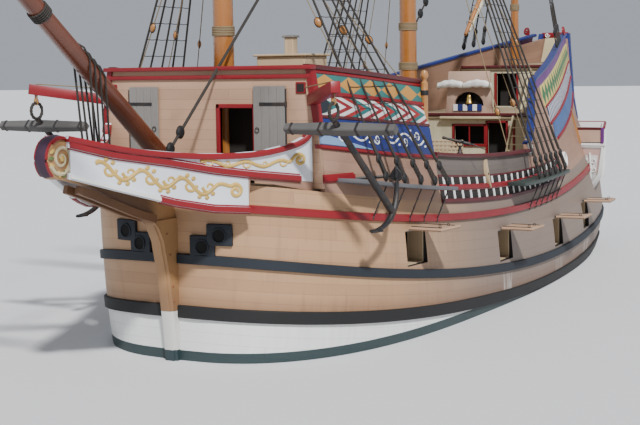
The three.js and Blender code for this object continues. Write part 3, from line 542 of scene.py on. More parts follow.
class Edge(Enum):
    """The cross-section of a strip: pairs of place across it and share of how far it stands out."""

    FLAT = ((0.0, 0.0), (0.0, 0.75), (0.06, 1.0), (0.94, 1.0), (1.0, 0.75), (1.0, 0.0))
    ROUND = ((0.0, 0.0), (0.0, 0.3), (0.12, 0.72), (0.32, 0.95), (0.5, 1.0),
             (0.68, 0.95), (0.88, 0.72), (1.0, 0.3), (1.0, 0.0))
    MOULDED = ((0.0, 0.0), (0.0, 0.5), (0.18, 0.62), (0.24, 1.0),
               (0.76, 1.0), (0.82, 0.62), (1.0, 0.5), (1.0, 0.0))


Ring = Sequence[Vector]


def smooth_line(points: Sequence[Sequence[float]], parts: int) -> list[Vector]:
    """Lead a smooth curve through points.

    Args:
        points: Points of two or three numbers.
        parts: How many steps to make between two of them.

    Returns:
        The points of the curve, as vectors of the same size.
    """
    ends = [Vector(p) for p in points]
    ends = [ends[0] * 2 - ends[1], *ends, ends[-1] * 2 - ends[-2]]
    found = []
    for p0, p1, p2, p3 in zip(ends, ends[1:], ends[2:], ends[3:]):
        for i in range(parts):
            t = i / parts
            found.append((p1 * 2 + (p2 - p0) * t + (p0 * 2 - p1 * 5 + p2 * 4 - p3) * t * t
                          + (p1 * 3 - p0 - p2 * 3 + p3) * t ** 3) / 2)
    return [*found, ends[-2]]


def spiral(centre: tuple[float, float], radius: float, turns: float, start: float, inner: float,
           parts: int) -> list[tuple[float, float]]:
    """Return the points of a scroll that winds in to a centre.

    Args:
        centre: The scroll's eye.
        radius: Its radius where it starts.
        turns: How often it goes round; negative is the other way.
        start: The angle at which it starts, in degrees.
        inner: The share of the radius that is left at its end.
        parts: Points for each turn.

    Returns:
        Pairs of numbers on the surface that it is drawn on.
    """
    count = max(int(abs(turns) * parts), 4)
    found = []
    for i in range(count + 1):
        t = i / count
        angle = math.radians(start + 360.0 * turns * t)
        r = radius * lerp(1.0, inner, t ** 0.8)
        found.append((centre[0] + r * math.cos(angle), centre[1] + r * math.sin(angle)))
    return found


def turned(direction: Vector, at: Vector, roll: Vector = UP) -> Matrix:
    """Return a frame whose Z lies along a direction and whose origin is at a point."""
    z = direction.normalized()
    x = roll.cross(z)
    x = x.normalized() if x.length > 1e-4 else z.orthogonal().normalized()
    return Matrix.Translation(at) @ Matrix((x, z.cross(x), z)).transposed().to_4x4()


def round_angles(count: int) -> list[float]:
    """Return the angles of even points round a circle."""
    return steps(0.0, 2 * math.pi, count)[:-1]


def circle(radius: float, sides: int) -> list[tuple[float, float]]:
    """Return the points of a circle round the origin."""
    return [(radius * math.cos(t), radius * math.sin(t)) for t in round_angles(sides)]


def bar(wide: float, high: float) -> list[tuple[float, float]]:
    """Return the square section of a bar from half its width and half its height."""
    return [(-wide, -high), (wide, -high), (wide, high), (-wide, high)]


def level(z: float) -> Height:
    """Return a height that is the same all along."""
    return lambda _: z


def ease(part: bmesh.types.BMesh, edges: list, width: float, segments: int = 1, clamp: bool = False) -> None:
    """Bevel some edges of a mesh."""
    bmesh.ops.bevel(part, geom=edges, offset=width, segments=segments, profile=0.5, affect="EDGES",
                    clamp_overlap=clamp, material=-1)


class Piece:
    """One named piece of the visual model. Each shape is made in a mesh of its own and then joined."""

    def __init__(self, name: str, slot: str, body: str = SHIP, replaces: Sequence[str] = ()) -> None:
        """Start an empty piece.

        Args:
            name: The piece's name.
            slot: The record's material slot; it is kept but not used.
            body: The body that it moves with.
            replaces: Nodes of the solid model that it stands for.
        """
        self.name, self.slot, self.body, self.replaced = name, slot, body, replaces
        self.mesh, _ = self.blank()
        self.finishes: list[Finish] = []

    @staticmethod
    def blank() -> tuple[bmesh.types.BMesh, object]:
        """Return an empty mesh and its UV layer."""
        part = bmesh.new()
        return part, part.loops.layers.uv.new(UV_NAME)

    def number(self, finish: Finish) -> int:
        """Return the number of a finish on this piece."""
        if finish not in self.finishes:
            self.finishes.append(finish)
        return self.finishes.index(finish)

    def take(self, part: bmesh.types.BMesh, finish: Finish, smooth: bool = True) -> None:
        """Join a finished shape to the piece and free it."""
        bmesh.ops.recalc_face_normals(part, faces=part.faces)
        for face in part.faces:
            face.smooth = smooth
            face.material_index = self.number(finish)
        scratch = bpy.data.meshes.new("scratch")
        part.to_mesh(scratch)
        part.free()
        self.mesh.from_mesh(scratch)
        bpy.data.meshes.remove(scratch)

    def loft(self, rings: Sequence[Ring], finish: Finish, caps: bool = True,
             across: Sequence[float] | None = None) -> None:
        """Lead a skin over a row of closed rings.

        Args:
            rings: Rings of the same number of points.
            finish: The surface finish.
            caps: Whether the open ends are closed.
            across: The v of each point of a ring; distances by default.
        """
        part, layer = self.blank()
        count = len(rings[0]) + 1
        bmesh.ops.create_grid(part, x_segments=count - 1, y_segments=len(rings) - 1, size=1.0)
        part.verts.ensure_lookup_table()
        lengths = [0.0]
        for a, b in zip(rings, rings[1:]):
            lengths.append(lengths[-1] + sum((q - p).length for p, q in zip(a, b)) / len(a))
        if across is None:
            middle, across = rings[len(rings) // 2], [0.0]
            for k in range(1, count):
                across.append(across[-1] + (middle[k % len(middle)] - middle[k - 1]).length)
        for index, vert in enumerate(part.verts):
            ring = rings[index // count]
            vert.co = ring[index % count % len(ring)]
        for face in part.faces:
            for loop in face.loops:
                index = loop.vert.index
                loop[layer].uv = (lengths[index // count], across[index % count])
        bmesh.ops.remove_doubles(part, verts=part.verts, dist=1e-6)
        for ring in (rings[0], rings[-1]) if caps else ():
            self.close_end(part, layer, ring)
        self.take(part, finish)

    @staticmethod
    def close_end(part: bmesh.types.BMesh, layer: object, ring: Ring) -> None:
        """Fill the open end of a skin where its last ring is, with a flat UV map."""
        corners = {tuple(round(c, 5) for c in p) for p in ring}
        edges = [e for e in part.edges if e.is_boundary
                 and all(tuple(round(c, 5) for c in v.co) in corners for v in e.verts)]
        if len(edges) < 3:
            return
        for face in bmesh.ops.holes_fill(part, edges=edges, sides=0)["faces"]:
            origin = face.calc_center_median()
            side = face.normal.orthogonal().normalized()
            for loop in face.loops:
                arm = loop.vert.co - origin
                loop[layer].uv = (arm.dot(side), arm.dot(face.normal.cross(side)))

    def sweep(self, path: Sequence[Vector], section: Sequence[tuple[float, float]], finish: Finish,
              up: Vector | Sequence[Vector] = UP, scale: Callable[[float], float] | None = None,
              closed: bool = False) -> None:
        """Lead a section along a path.

        Args:
            path: The points that the section's origin follows.
            section: Pairs of sideways and upward distances.
            finish: The surface finish.
            up: The section's upward direction, or one for each point.
            scale: The section's size as a share, for a place from 0 to 1 along the path.
            closed: Whether the path is a loop.
        """
        rings = []
        last = len(path) - 1
        for i, point in enumerate(path):
            if closed:
                ahead = path[(i + 1) % len(path)] - path[i - 1]
            else:
                ahead = path[min(i + 1, last)] - path[max(i - 1, 0)]
            upward = up if isinstance(up, Vector) else up[i]
            side = ahead.cross(upward)
            side = side.normalized() if side.length > 1e-5 * ahead.length else ahead.orthogonal().normalized()
            top = side.cross(ahead).normalized()
            grow = scale(i / max(last, 1)) if scale else 1.0
            rings.append([point + (side * a + top * b) * grow for a, b in section])
        if closed:
            rings.append(rings[0])
        self.loft(rings, finish, caps=not closed)

    def tube(self, path: Sequence[Vector], radius: float, finish: Finish, sides: int = 6,
             scale: Callable[[float], float] | None = None, closed: bool = False) -> None:
        """Lead a round bar or rope along a path."""
        ahead = path[min(1, len(path) - 1)] - path[0]
        up = UP if abs(ahead.normalized().z) < 0.95 else AFT
        self.sweep(path, circle(radius, sides), finish, up, scale, closed)

    def hoop(self, centre: Vector, right: Vector, top: Vector, radius: float, finish: Finish, sides: int = 6,
             parts: int = 14) -> None:
        """Bend a round bar or rope to a closed ring.

        Args:
            centre: The middle of the ring.
            right: The way from there to its first point.
            top: The way to its point a quarter turn on.
            radius: The bar's own radius.
            finish: The surface finish.
            sides: Steps round the bar.
            parts: Steps round the ring.
        """
        ring = [centre + right * math.cos(t) + top * math.sin(t) for t in round_angles(parts)]
        self.tube(ring, radius, finish, sides, closed=True)

    def spar(self, stations: Sequence[tuple[Vector, float]], finish: Finish, sides: int) -> None:
        """Make a straight round timber through places and radii."""
        ahead = (stations[-1][0] - stations[0][0]).normalized()
        frame_at = turned(ahead, Vector())
        rings = [[at + frame_at @ Vector((a, b, 0.0)) for a, b in circle(r, sides)] for at, r in stations]
        self.loft(rings, finish)

    def box(self, low: Sequence[float], high: Sequence[float], finish: Finish, bevel: float = 0.008,
            matrix: Matrix = Matrix.Identity(4), segments: int = 1) -> None:
        """Make a block between two corners, with eased edges, in a frame of its own.

        Args:
            low: The lowest corner.
            high: The highest corner.
            finish: The surface finish.
            bevel: How much the edges are eased.
            matrix: The frame that the corners are in.
            segments: Steps of the easing.
        """
        part, layer = self.blank()
        low, high = Vector(low), Vector(high)
        size = high - low
        place = Matrix.Translation((low + high) / 2) @ Matrix.Diagonal((*size, 1.0))
        bmesh.ops.create_cube(part, size=1.0, matrix=place)
        if bevel:
            ease(part, part.edges[:], min(bevel, min(size) * 0.3), segments)
        longest = max(range(3), key=lambda i: size[i])
        self.map_faces(part, layer, Vector([float(i == longest) for i in range(3)]))
        bmesh.ops.transform(part, matrix=matrix, verts=part.verts)
        self.take(part, finish, smooth=False)

    def surround(self, low: Sequence[float], high: Sequence[float], width: float, near: float, far: float,
                 bevel: float) -> None:
        """Frame an opening in a wall across the ship with two red posts and a head.

        Args:
            low: The opening's lower corner, x and z.
            high: Its upper corner.
            width: The width of the posts and the head.
            near: Their y towards the bow.
            far: Their y towards the stern.
            bevel: How much the edges are eased.
        """
        (x0, z0), (x1, z1) = low, high
        for a, b, c in ((x0 - width, z0, x0), (x1, z0, x1 + width), (x0 - width, z1, x1 + width)):
            self.box((a, near, b), (c, far, z1 + width), CRIMSON, bevel)

    @staticmethod
    def map_faces(part: bmesh.types.BMesh, layer: object, grain: Vector) -> None:
        """Write a UV map whose u runs along the grain, in metres."""
        for face in part.faces:
            side = face.normal.cross(grain)
            side = side.normalized() if side.length > 0.1 else face.normal.orthogonal().normalized()
            ahead = side.cross(face.normal)
            for loop in face.loops:
                loop[layer].uv = (loop.vert.co.dot(ahead), loop.vert.co.dot(side))

    def plate(self, outline: Sequence[Vector], depth: Vector, finish: Finish, bevel: float = 0.006,
              grain: Vector = AFT) -> None:
        """Make a flat plate from its outline.

        Args:
            outline: The points round one face.
            depth: The way to the other face.
            finish: The surface finish.
            bevel: How much the edges are eased.
            grain: The direction of the grain.
        """
        part, layer = self.blank()
        face = part.faces.new([part.verts.new(p) for p in outline])
        grown = bmesh.ops.extrude_face_region(part, geom=[face], use_keep_orig=True)["geom"]
        bmesh.ops.translate(part, vec=depth, verts=[v for v in grown if isinstance(v, bmesh.types.BMVert)])
        bmesh.ops.recalc_face_normals(part, faces=part.faces)
        if bevel:
            ease(part, [e for e in part.edges if e.calc_face_angle(0.0) > 0.4], bevel)
        self.map_faces(part, layer, grain)
        self.take(part, finish, smooth=False)

    def ball(self, at: Vector, radius: float, finish: Finish, stretch: Sequence[float] = (1.0, 1.0, 1.0),
             sides: int = 12, matrix: Matrix = Matrix.Identity(4)) -> None:
        """Make a round or stretched knob."""
        part, layer = self.blank()
        place = Matrix.Translation(at) @ matrix @ Matrix.Diagonal((*(radius * s for s in stretch), 1.0))
        bmesh.ops.create_uvsphere(part, u_segments=sides, v_segments=max(sides // 2, 4), radius=1.0,
                                  matrix=place)
        self.map_faces(part, layer, UP)
        self.take(part, finish)

    def turning(self, outline: Sequence[tuple[float, float]], matrix: Matrix, finish: Finish,
                sides: int = 16) -> None:
        """Turn an outline round the Z axis of a frame.

        Args:
            outline: Pairs of radius and height, from one end to the other.
            matrix: The frame.
            finish: The surface finish.
            sides: Steps round the axis.
        """
        rings = [[matrix @ Vector((a, b, z)) for a, b in circle(max(r, 1e-4), sides)] for r, z in outline]
        self.loft(rings, finish)

    def strip(self, surface: Place3, start: float, end: float, low: Height, high: Height, proud: float,
              finish: Finish, edge: Edge = Edge.FLAT, count: int = 40, back: float = 0.02,
              unit: bool = False, spread: float = 1.0) -> None:
        """Lay a board or rail on a surface.

        Args:
            surface: Gives the point for a place along, a height and a distance out.
            start: Where it starts along the surface.
            end: Where it ends.
            low: Its lower edge at a place along.
            high: Its upper edge.
            proud: How far it stands out.
            finish: The surface finish.
            edge: Its cross-section.
            count: Steps along it.
            back: How far it goes into the surface.
            unit: Whether v goes from 0 to 1 across it rather than in metres.
            spread: Above 1, its steps are closer together at its start.
        """
        rings = []
        for a in (lerp(start, end, t ** spread) for t in steps(0.0, 1.0, count)):
            bottom, top = low(a), high(a)
            rings.append([surface(a, lerp(bottom, top, t), lerp(-back, proud, out)) for t, out in edge.value])
        self.loft(rings, finish, across=[*(t for t, _ in edge.value), 0.0] if unit else None)

    def rail(self, surface: Place3, start: float, end: float, base: Height, offsets: tuple[float, float],
             proud: float, finish: Finish, edge: Edge = Edge.FLAT, count: int = 40,
             **more: float | bool) -> None:
        """Lay a strip whose two edges run at fixed offsets from one line.

        Args:
            surface: Gives the point for a place along, a height and a distance out.
            start: Where it starts along the surface.
            end: Where it ends.
            base: The height of the line.
            offsets: How far the lower and the upper edge are above it.
            proud: How far it stands out.
            finish: The surface finish.
            edge: Its cross-section.
            count: Steps along it.
            **more: Other options of a strip.
        """
        low, high = offsets
        self.strip(surface, start, end, lambda a: base(a) + low, lambda a: base(a) + high, proud, finish, edge,
                   count, **more)

    def relief(self, surface: Place3, points: Sequence[tuple[float, float]], width: float, height: float,
               finish: Finish, parts: int = 4, taper: float = 0.0, base: float = 0.0) -> None:
        """Lay a raised, rounded line of carving on a surface.

        Args:
            surface: Gives the point for a place along, a height and a distance out.
            points: The line on the surface.
            width: Its width.
            height: How far it stands out.
            finish: The surface finish.
            parts: Steps between two points.
            taper: The share of its size that it loses towards its end.
            base: How far the surface that it lies on stands out.
        """
        line = smooth_line(points, parts) if parts > 1 else [Vector(p) for p in points]
        path = [surface(p[0], p[1], base) for p in line]
        ups = [surface(p[0], p[1], base + 0.05) - at for p, at in zip(line, path)]
        section = [(math.cos(a) * width / 2, math.sin(a) * height) for a in steps(0.0, math.pi, 4)]
        section += [(-width / 2, -0.006), (width / 2, -0.006)]
        self.sweep(path, section, finish, ups, lambda t: 1.0 - taper * t)

    def curl(self, surface: Place3, centre: tuple[float, float], radius: float, turns: float, start: float,
             width: float, height: float, finish: Finish, inner: float = 0.2, parts: int = 14,
             taper: float = 0.0, base: float = 0.0) -> None:
        """Carve one scroll on a surface.

        Args:
            surface: Gives the point for a place along, a height and a distance out.
            centre: The scroll's eye.
            radius: Its radius where it starts.
            turns: How often it goes round; negative is the other way.
            start: The angle at which it starts, in degrees.
            width: The width of its line.
            height: How far it stands out.
            finish: The surface finish.
            inner: The share of the radius that is left at its end.
            parts: Points for each turn.
            taper: The share of the line's size that is lost towards the eye.
            base: How far the surface that it lies on stands out.
        """
        scroll = spiral(centre, radius, turns, start, inner, parts)
        self.relief(surface, scroll, width, height, finish, 1, taper, base)

    def done(self, sharp: float = 35.0) -> None:
        """Turn the piece into an object that rides on its body.

        Args:
            sharp: Edges turned by more than this many degrees are shaded sharp.
        """
        data = bpy.data.meshes.new(self.name)
        self.mesh.to_mesh(data)
        self.mesh.free()
        for finish in self.finishes:
            data.materials.append(finish.material())
        data.set_sharp_from_angle(angle=math.radians(sharp))
        made = bpy.data.objects.new(self.name, data)
        bpy.context.scene.collection.objects.link(made)
        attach(made, self.body)
        if self.replaced:
            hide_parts(*self.replaced)


def side_surface(side: float) -> Place3:
    """Return the ship's side as a surface for strips and relief."""
    return lambda y, z, out: LINES.on_side(side, y, z, out)


@dataclass(frozen=True)
class Dress:
    """A CAD node shown again with eased edges, a UV map and a finish."""

    node: str
    slot: str
    finish: Finish
    bevel: float = 0.012
    grain: Vector = field(default_factory=lambda: AFT)
    body: str = SHIP
    sharp: float = 35.0

    def build(self) -> None:
        """Copy the node's mesh, ease its edges and let the copy stand for it."""
        piece = Piece(f"{self.node}_dressed", self.slot, self.body, (self.node,))
        part = bmesh.new()
        part.from_mesh(frame["nodes"][self.node].data)
        for layer in list(part.loops.layers.uv):
            part.loops.layers.uv.remove(layer)
        layer = part.loops.layers.uv.new(UV_NAME)
        bmesh.ops.remove_doubles(part, verts=part.verts, dist=5e-5)
        bmesh.ops.dissolve_limit(part, angle_limit=math.radians(0.8), verts=part.verts, edges=part.edges)
        bmesh.ops.recalc_face_normals(part, faces=part.faces)
        ease(part, [e for e in part.edges if e.calc_face_angle(0.0) > math.radians(28)], self.bevel, 2, True)
        Piece.map_faces(part, layer, self.grain)
        piece.take(part, self.finish)
        piece.done(self.sharp)


TAN = Timber("hull_tan", (0.36, 0.215, 0.15), (0.25, 0.14, 0.095), rough=0.55, plank=0.24, butt=6.0, seam=0.3,
             streak=0.25, dirt=0.25)
KNEE_BROWN = Timber("knee_brown", (0.2, 0.1, 0.045), (0.1, 0.045, 0.02), rough=0.5)
BLACK = Timber("black_paint_worn", (0.004, 0.004, 0.005), (0.01, 0.01, 0.01), rough=0.7)
SLATE = Timber("slate_paint", (0.006, 0.01, 0.017), (0.015, 0.02, 0.028), rough=0.7)
BOTTOM = Timber("bottom_paint", (0.015, 0.035, 0.04), (0.01, 0.018, 0.022), rough=0.55, plank=0.24)
CRIMSON = Timber("crimson_paint", (0.26, 0.006, 0.012), (0.15, 0.004, 0.008), rough=0.42, dirt=0.12)
DARK_RED = Timber("dark_red_paint", (0.11, 0.008, 0.012), (0.055, 0.006, 0.008), rough=0.45)
WHITE = Timber("white_paint_soft", (0.8, 0.8, 0.78), (0.66, 0.66, 0.64), rough=0.5, dirt=0.1)
PANEL_WHITE = Timber("panel_white", (0.72, 0.74, 0.79), (0.58, 0.61, 0.67), rough=0.5, plank=0.34, seam=0.15)
CREAM = Timber("cream_paint_old", (0.6, 0.52, 0.33), (0.48, 0.4, 0.24), rough=0.5, dirt=0.15)
LEAF_GREEN = Timber("leaf_green", (0.12, 0.17, 0.05), (0.07, 0.11, 0.03), rough=0.5)
VINE = Timber("vine_gold", (0.64, 0.44, 0.12), (0.46, 0.28, 0.06), rough=0.45)
BLUE = Timber("deep_blue_paint", (0.012, 0.026, 0.17), (0.008, 0.016, 0.1), rough=0.4)
LIGHT_BLUE = Timber("light_blue_paint", (0.2, 0.32, 0.5), (0.14, 0.24, 0.4), rough=0.4)
PLUM = Timber("plum_paint", (0.04, 0.012, 0.035), (0.025, 0.008, 0.025), rough=0.5)
PURPLE = Timber("purple_paint", (0.15, 0.03, 0.19), (0.08, 0.016, 0.12), rough=0.4)
STOCK_GREY = Timber("stock_grey", (0.11, 0.105, 0.1), (0.06, 0.057, 0.054), rough=0.8, streak=0.8, dirt=0.3)
GREY_WOOD = Timber("grey_wood", (0.25, 0.235, 0.22), (0.14, 0.13, 0.12), rough=0.75, streak=0.8, dirt=0.3)
GREY_PLANKS = Timber("grey_planks", (0.27, 0.25, 0.23), (0.16, 0.15, 0.14), rough=0.75, plank=0.2, streak=0.6)
DECK = Timber("deck_pine", (0.36, 0.28, 0.18), (0.26, 0.19, 0.12), rough=0.7, plank=0.15, butt=4.0, seam=0.6)
PALE_WOOD = Timber("pale_wood", (0.52, 0.4, 0.26), (0.4, 0.28, 0.16), rough=0.6, plank=0.22)
AMBER = Timber("amber_varnish", (0.44, 0.17, 0.035), (0.28, 0.09, 0.015), rough=0.3, coat=0.5, streak=0.6)
SPAR_RED = Timber("spar_red_brown", (0.16, 0.04, 0.014), (0.075, 0.018, 0.008), rough=0.3, coat=0.45)
ORANGE_WOOD = Timber("orange_wood", (0.42, 0.2, 0.06), (0.3, 0.12, 0.03), rough=0.35, coat=0.35)
SCREEN = Timber("screen_brown", (0.14, 0.115, 0.1), (0.09, 0.07, 0.06), rough=0.7, plank=0.12)
# Painted shade: two near-black finishes put in holes, openings and windows, where only shade is seen.
SHADE_BLACK = Timber("painted_shade_black", (0.003, 0.003, 0.003), (0.002, 0.002, 0.002), rough=0.95)
SHADE_DARK = Timber("painted_shade_dark", (0.018, 0.014, 0.012), (0.01, 0.008, 0.007), rough=0.85)
PINK_WOOD = Timber("pink_wood", (0.5, 0.34, 0.26), (0.4, 0.26, 0.19), rough=0.55)
PALE_PINK = Timber("pale_pink", (0.62, 0.42, 0.38), (0.56, 0.37, 0.33), rough=0.5)
MID_BLUE = Timber("mid_blue_paint", (0.05, 0.12, 0.3), (0.04, 0.09, 0.24), rough=0.45)
LID_TAN = Timber("lid_tan", (0.5, 0.33, 0.22), (0.38, 0.23, 0.14), rough=0.55)
LID_INSIDE = Timber("lid_inside", (0.3, 0.2, 0.13), (0.2, 0.12, 0.08), rough=0.6)
CREAM_PLANKS = Timber("cream_planks", (0.58, 0.52, 0.37), (0.48, 0.42, 0.28), rough=0.5, plank=0.3, seam=0.3)
# Painted light: a lighter copy of the tan planks for the forecastle's front, standing in for the sunlight on it.
SUNLIT_FRONT_TAN = Timber("front_tan_painted_sunlight", (0.5, 0.31, 0.2), (0.4, 0.24, 0.155), rough=0.55, plank=0.22, seam=0.45)
CHANNEL_GREY = Timber("channel_grey", (0.13, 0.13, 0.14), (0.08, 0.08, 0.085), rough=0.7)
CHANNEL_GREEN = Timber("channel_green", (0.02, 0.04, 0.035), (0.03, 0.035, 0.03), rough=0.5)
IRON = Metal("black_iron", (0.02, 0.02, 0.022), (0.05, 0.035, 0.028), rough=0.5, metal=0.3)
BRASS = Metal("bell_brass", (0.55, 0.38, 0.12), (0.35, 0.2, 0.06), rough=0.3, metal=1.0)
COPPER = Metal("bolt_copper", (0.32, 0.12, 0.06), (0.18, 0.09, 0.06), rough=0.5, metal=0.6)
TARRED = Rope("tarred_rope", (0.022, 0.018, 0.015), (0.05, 0.042, 0.035), lay=0.07, around=0.11)
HEMP = Rope("hemp_rope", (0.34, 0.25, 0.14), (0.24, 0.17, 0.09), lay=0.04, around=0.06)
PALE_ROPE = Rope("pale_rope", (0.55, 0.5, 0.4), (0.42, 0.37, 0.28), lay=0.03, around=0.05)
SAILCLOTH = Canvas("sailcloth", (0.62, 0.55, 0.4), (0.5, 0.43, 0.3))
WHITE_CLOTH = Canvas("white_cloth", (0.78, 0.77, 0.74), (0.68, 0.67, 0.64))
TRIANGLES = Band("triangle_band", Motif.TRIANGLES, ((0.45, 0.22, 0.05), (0.03, 0.14, 0.13)), pitch=0.86)
CHEVRONS = Band("chevron_band", Motif.CHEVRONS,
                ((0.6, 0.6, 0.58), (0.3, 0.02, 0.02), (0.02, 0.13, 0.13), (0.6, 0.6, 0.58),
                 (0.22, 0.015, 0.02)),
                pitch=1.25)
GREEN_TRIANGLES = Band("green_triangle_band", Motif.TRIANGLES, ((0.03, 0.13, 0.05), (0.6, 0.47, 0.14)),
                       pitch=0.5)
STRIPES = Band("blue_stripe_band", Motif.STRIPES, ((0.015, 0.025, 0.1), (0.6, 0.6, 0.62)), pitch=0.24)

PORTS = (-6.75, -1.75, 2.9, 6.6)
PORT_WIDE, PORT_HIGH, PORT_DEEP, LID_HANG, SILL_RISE = 0.9, 0.8, 0.6, 0.06, 0.045
PORT_FOOT = -(PORT_HIGH + LID_HANG)
PORT_LINING, PORT_BACK = 0.035, -0.5
PLANK_RISE, PAINT_LINE = 0.8, 0.22
QUARTER_START, RAKE_START = 1.0, 9.0


def wale_sweep(y: float, lowest: float = 3.0, over: float = 12.0) -> float:
    """Return how far a strake has risen at y: 0 where it is lowest and 1 at a distance `over` from there."""
    return ((y - lowest) / over) ** 2


@dataclass(frozen=True)
class Wale:
    """A thick strake: its middle where it is lowest, its half height, how it rises, and where it starts."""

    middle: float
    half: float
    rise: float
    proud: float
    finish: Finish
    start: float = LINES.stem_y
    lowest: float = 3.0
    over: float = 12.0

    def low(self, y: float) -> float:
        """Return the height of its lower edge."""
        return self.middle - self.half + self.rise * wale_sweep(y, self.lowest, self.over)

    def high(self, y: float) -> float:
        """Return the height of its upper edge."""
        return self.low(y) + 2 * self.half


WALES = (Wale(0.15, 0.135, 0.65, 0.07, BLACK), Wale(0.82, 0.105, 0.98, 0.07, SLATE),
         Wale(2.37, 0.085, 0.93, 0.065, CRIMSON, -10.98, 0.5, 11.6))


@dataclass(frozen=True)
class Port:
    """A gunport of one side; its frame has X outwards and its origin on the lid's hinge."""

    label: str
    side: float
    number: int

    @property
    def y(self) -> float:
        """Return the middle of the port."""
        return PORTS[self.number - 1]

    @property
    def sill(self) -> float:
        """Return the height of the sill."""
        return SILL_RISE + max(WALES[1].high(self.y - PORT_WIDE / 2), WALES[1].high(self.y + PORT_WIDE / 2))

    @property
    def frame(self) -> Matrix:
        """Return the port's frame."""
        head = self.sill + PORT_HIGH + LID_HANG
        step = PORT_WIDE / 2
        slope = (LINES.half(self.y + step, head) - LINES.half(self.y - step, head)) / (2 * step)
        turn = Matrix.Rotation(-math.atan(slope), 4, "Z")
        place = Matrix.Translation((LINES.half(self.y, head) + 0.06, self.y, head)) @ turn
        return Matrix.Diagonal((self.side, 1.0, 1.0, 1.0)) @ place

    @classmethod
    def every(cls) -> list["Port"]:
        """Return the eight ports."""
        return [cls(label, side, number) for label, side in SIDES for number in range(1, len(PORTS) + 1)]


@dataclass
class HullShell:
    """The planked hull with its wales and gunports."""

    stations: int = 96
    crowding: float = 1.35
    break_z: float = -0.3
    low_rows: int = 16
    high_rows: int = 22

    def rows(self) -> list[Height]:
        """Return the rows' heights: level below the break, and following the deck's edge above it."""
        low = [level(z) for z in steps(LINES.keel_z, self.break_z, self.low_rows)]
        top = [lambda y, t=t: lerp(self.break_z, hull_edge(y), t) for t in steps(0.0, 1.0, self.high_rows)[1:]]
        return [*low, *top]

    def ring(self, t: float, rows: Sequence[Height]) -> list[Vector]:
        """Return one ring of the shell, t from 0 at the stem to 1 at the stern."""
        port = []
        for row in rows:
            y = lerp(LINES.stem_y, LINES.stern_y, t)
            for _ in range(3):
                z = row(y)
                y = lerp(LINES.stem(z), LINES.stern(z), t)
            port.append(Vector((LINES.half(y, z), y, z)))
        return [*port, *(Vector((-p.x, p.y, p.z)) for p in reversed(port))]

    def build(self) -> None:
        """Make the shell, cut the ports and lay the wales."""
        rows = self.rows()
        rings = [self.ring(t ** self.crowding, rows) for t in steps(0.0, 1.0, self.stations)]
        piece = Piece("hull_planking", "hull_planks", SHIP, ("hull",))
        piece.loft(rings, HullPaint("hull_paint"))
        self.cut_ports(piece)
        for face in piece.mesh.faces:
            for loop in face.loops:
                at = loop.vert.co
                loop[piece.mesh.loops.layers.uv[UV_NAME]].uv = (at.y, at.z - PLANK_RISE * wale_sweep(at.y))
        self.line_ports(piece)
        piece.done()
        wales = Piece("hull_wales", "black_paint")
        for _, side in SIDES:
            for wale in WALES:
                end = LINES.stern(wale.middle + 0.5) - 0.01
                wales.strip(side_surface(side), wale.start + 1e-5, end, wale.low, wale.high, wale.proud,
                            wale.finish, count=110, spread=2.6)
        wales.done()

    @staticmethod
    def cut_ports(piece: Piece) -> None:
        """Cut the eight gunports out of the shell with an applied Boolean and paint the faces inside them
        near-black as shade.
        """
        dark = piece.number(SHADE_DARK)
        body = bpy.data.objects.new("hull_body", bpy.data.meshes.new("hull_body"))
        cutter = bpy.data.objects.new("cutter", bpy.data.meshes.new("cutter"))
        piece.mesh.to_mesh(body.data)
        tools = bmesh.new()
        size = Matrix.Diagonal((PORT_DEEP + 0.4, PORT_WIDE, PORT_HIGH, 1.0))
        middle = Matrix.Translation((0.2 - PORT_DEEP / 2, 0.0, PORT_FOOT + PORT_HIGH / 2))
        for port in Port.every():
            bmesh.ops.create_cube(tools, size=1.0, matrix=port.frame @ middle @ size)
        bmesh.ops.recalc_face_normals(tools, faces=tools.faces)
        tools.to_mesh(cutter.data)
        tools.free()
        for made in (body, cutter):
            bpy.context.scene.collection.objects.link(made)
        cut = body.modifiers.new("ports", "BOOLEAN")
        cut.object, cut.operation, cut.solver = cutter, "DIFFERENCE", "EXACT"
        bpy.context.view_layer.update()
        result = bpy.data.meshes.new_from_object(body.evaluated_get(bpy.context.evaluated_depsgraph_get()))
        piece.mesh.clear()
        piece.mesh.from_mesh(result)
        for made in (body, cutter):
            bpy.data.objects.remove(made)
        # Painted shade: the faces inside each port take the near-black finish that stands in for the shade there.
        for face in piece.mesh.faces:
            at = face.calc_center_median()
            near = min(PORTS, key=lambda y: abs(y - at.y))
            if abs(at.y - near) < 0.6 and 0.9 < at.z < 2.7 and abs(at.x) < LINES.half(at.y, at.z) - 0.04:
                face.material_index, face.smooth = dark, False

    @staticmethod
    def line_ports(piece: Piece) -> None:
        """Line each port with jambs, a sill and a head, with painted light: pale wood for the sunlit aft jamb and
        sill, grey for the shaded fore jamb and head.
        """
        half, low, high = PORT_WIDE / 2, PORT_FOOT, PORT_FOOT + PORT_HIGH
        for port in Port.every():
            # Painted light: the aft jamb and the sill, which face the sun, are pale wood; the fore jamb and the
            # head are grey wood as painted shade.
            for near, far, foot, head, out, finish in (
                    (-half, PORT_LINING - half, low, high, -0.085, GREY_WOOD),
                    (half - PORT_LINING, half, low, high, -0.085, PALE_WOOD),
                    (-half, half, low, low + 0.03, -0.085, PALE_WOOD),
                    (-half, half, high - 0.03, high, -0.09, GREY_WOOD)):
                piece.box((PORT_BACK, near, foot), (out, far, head), finish, 0.005, port.frame)


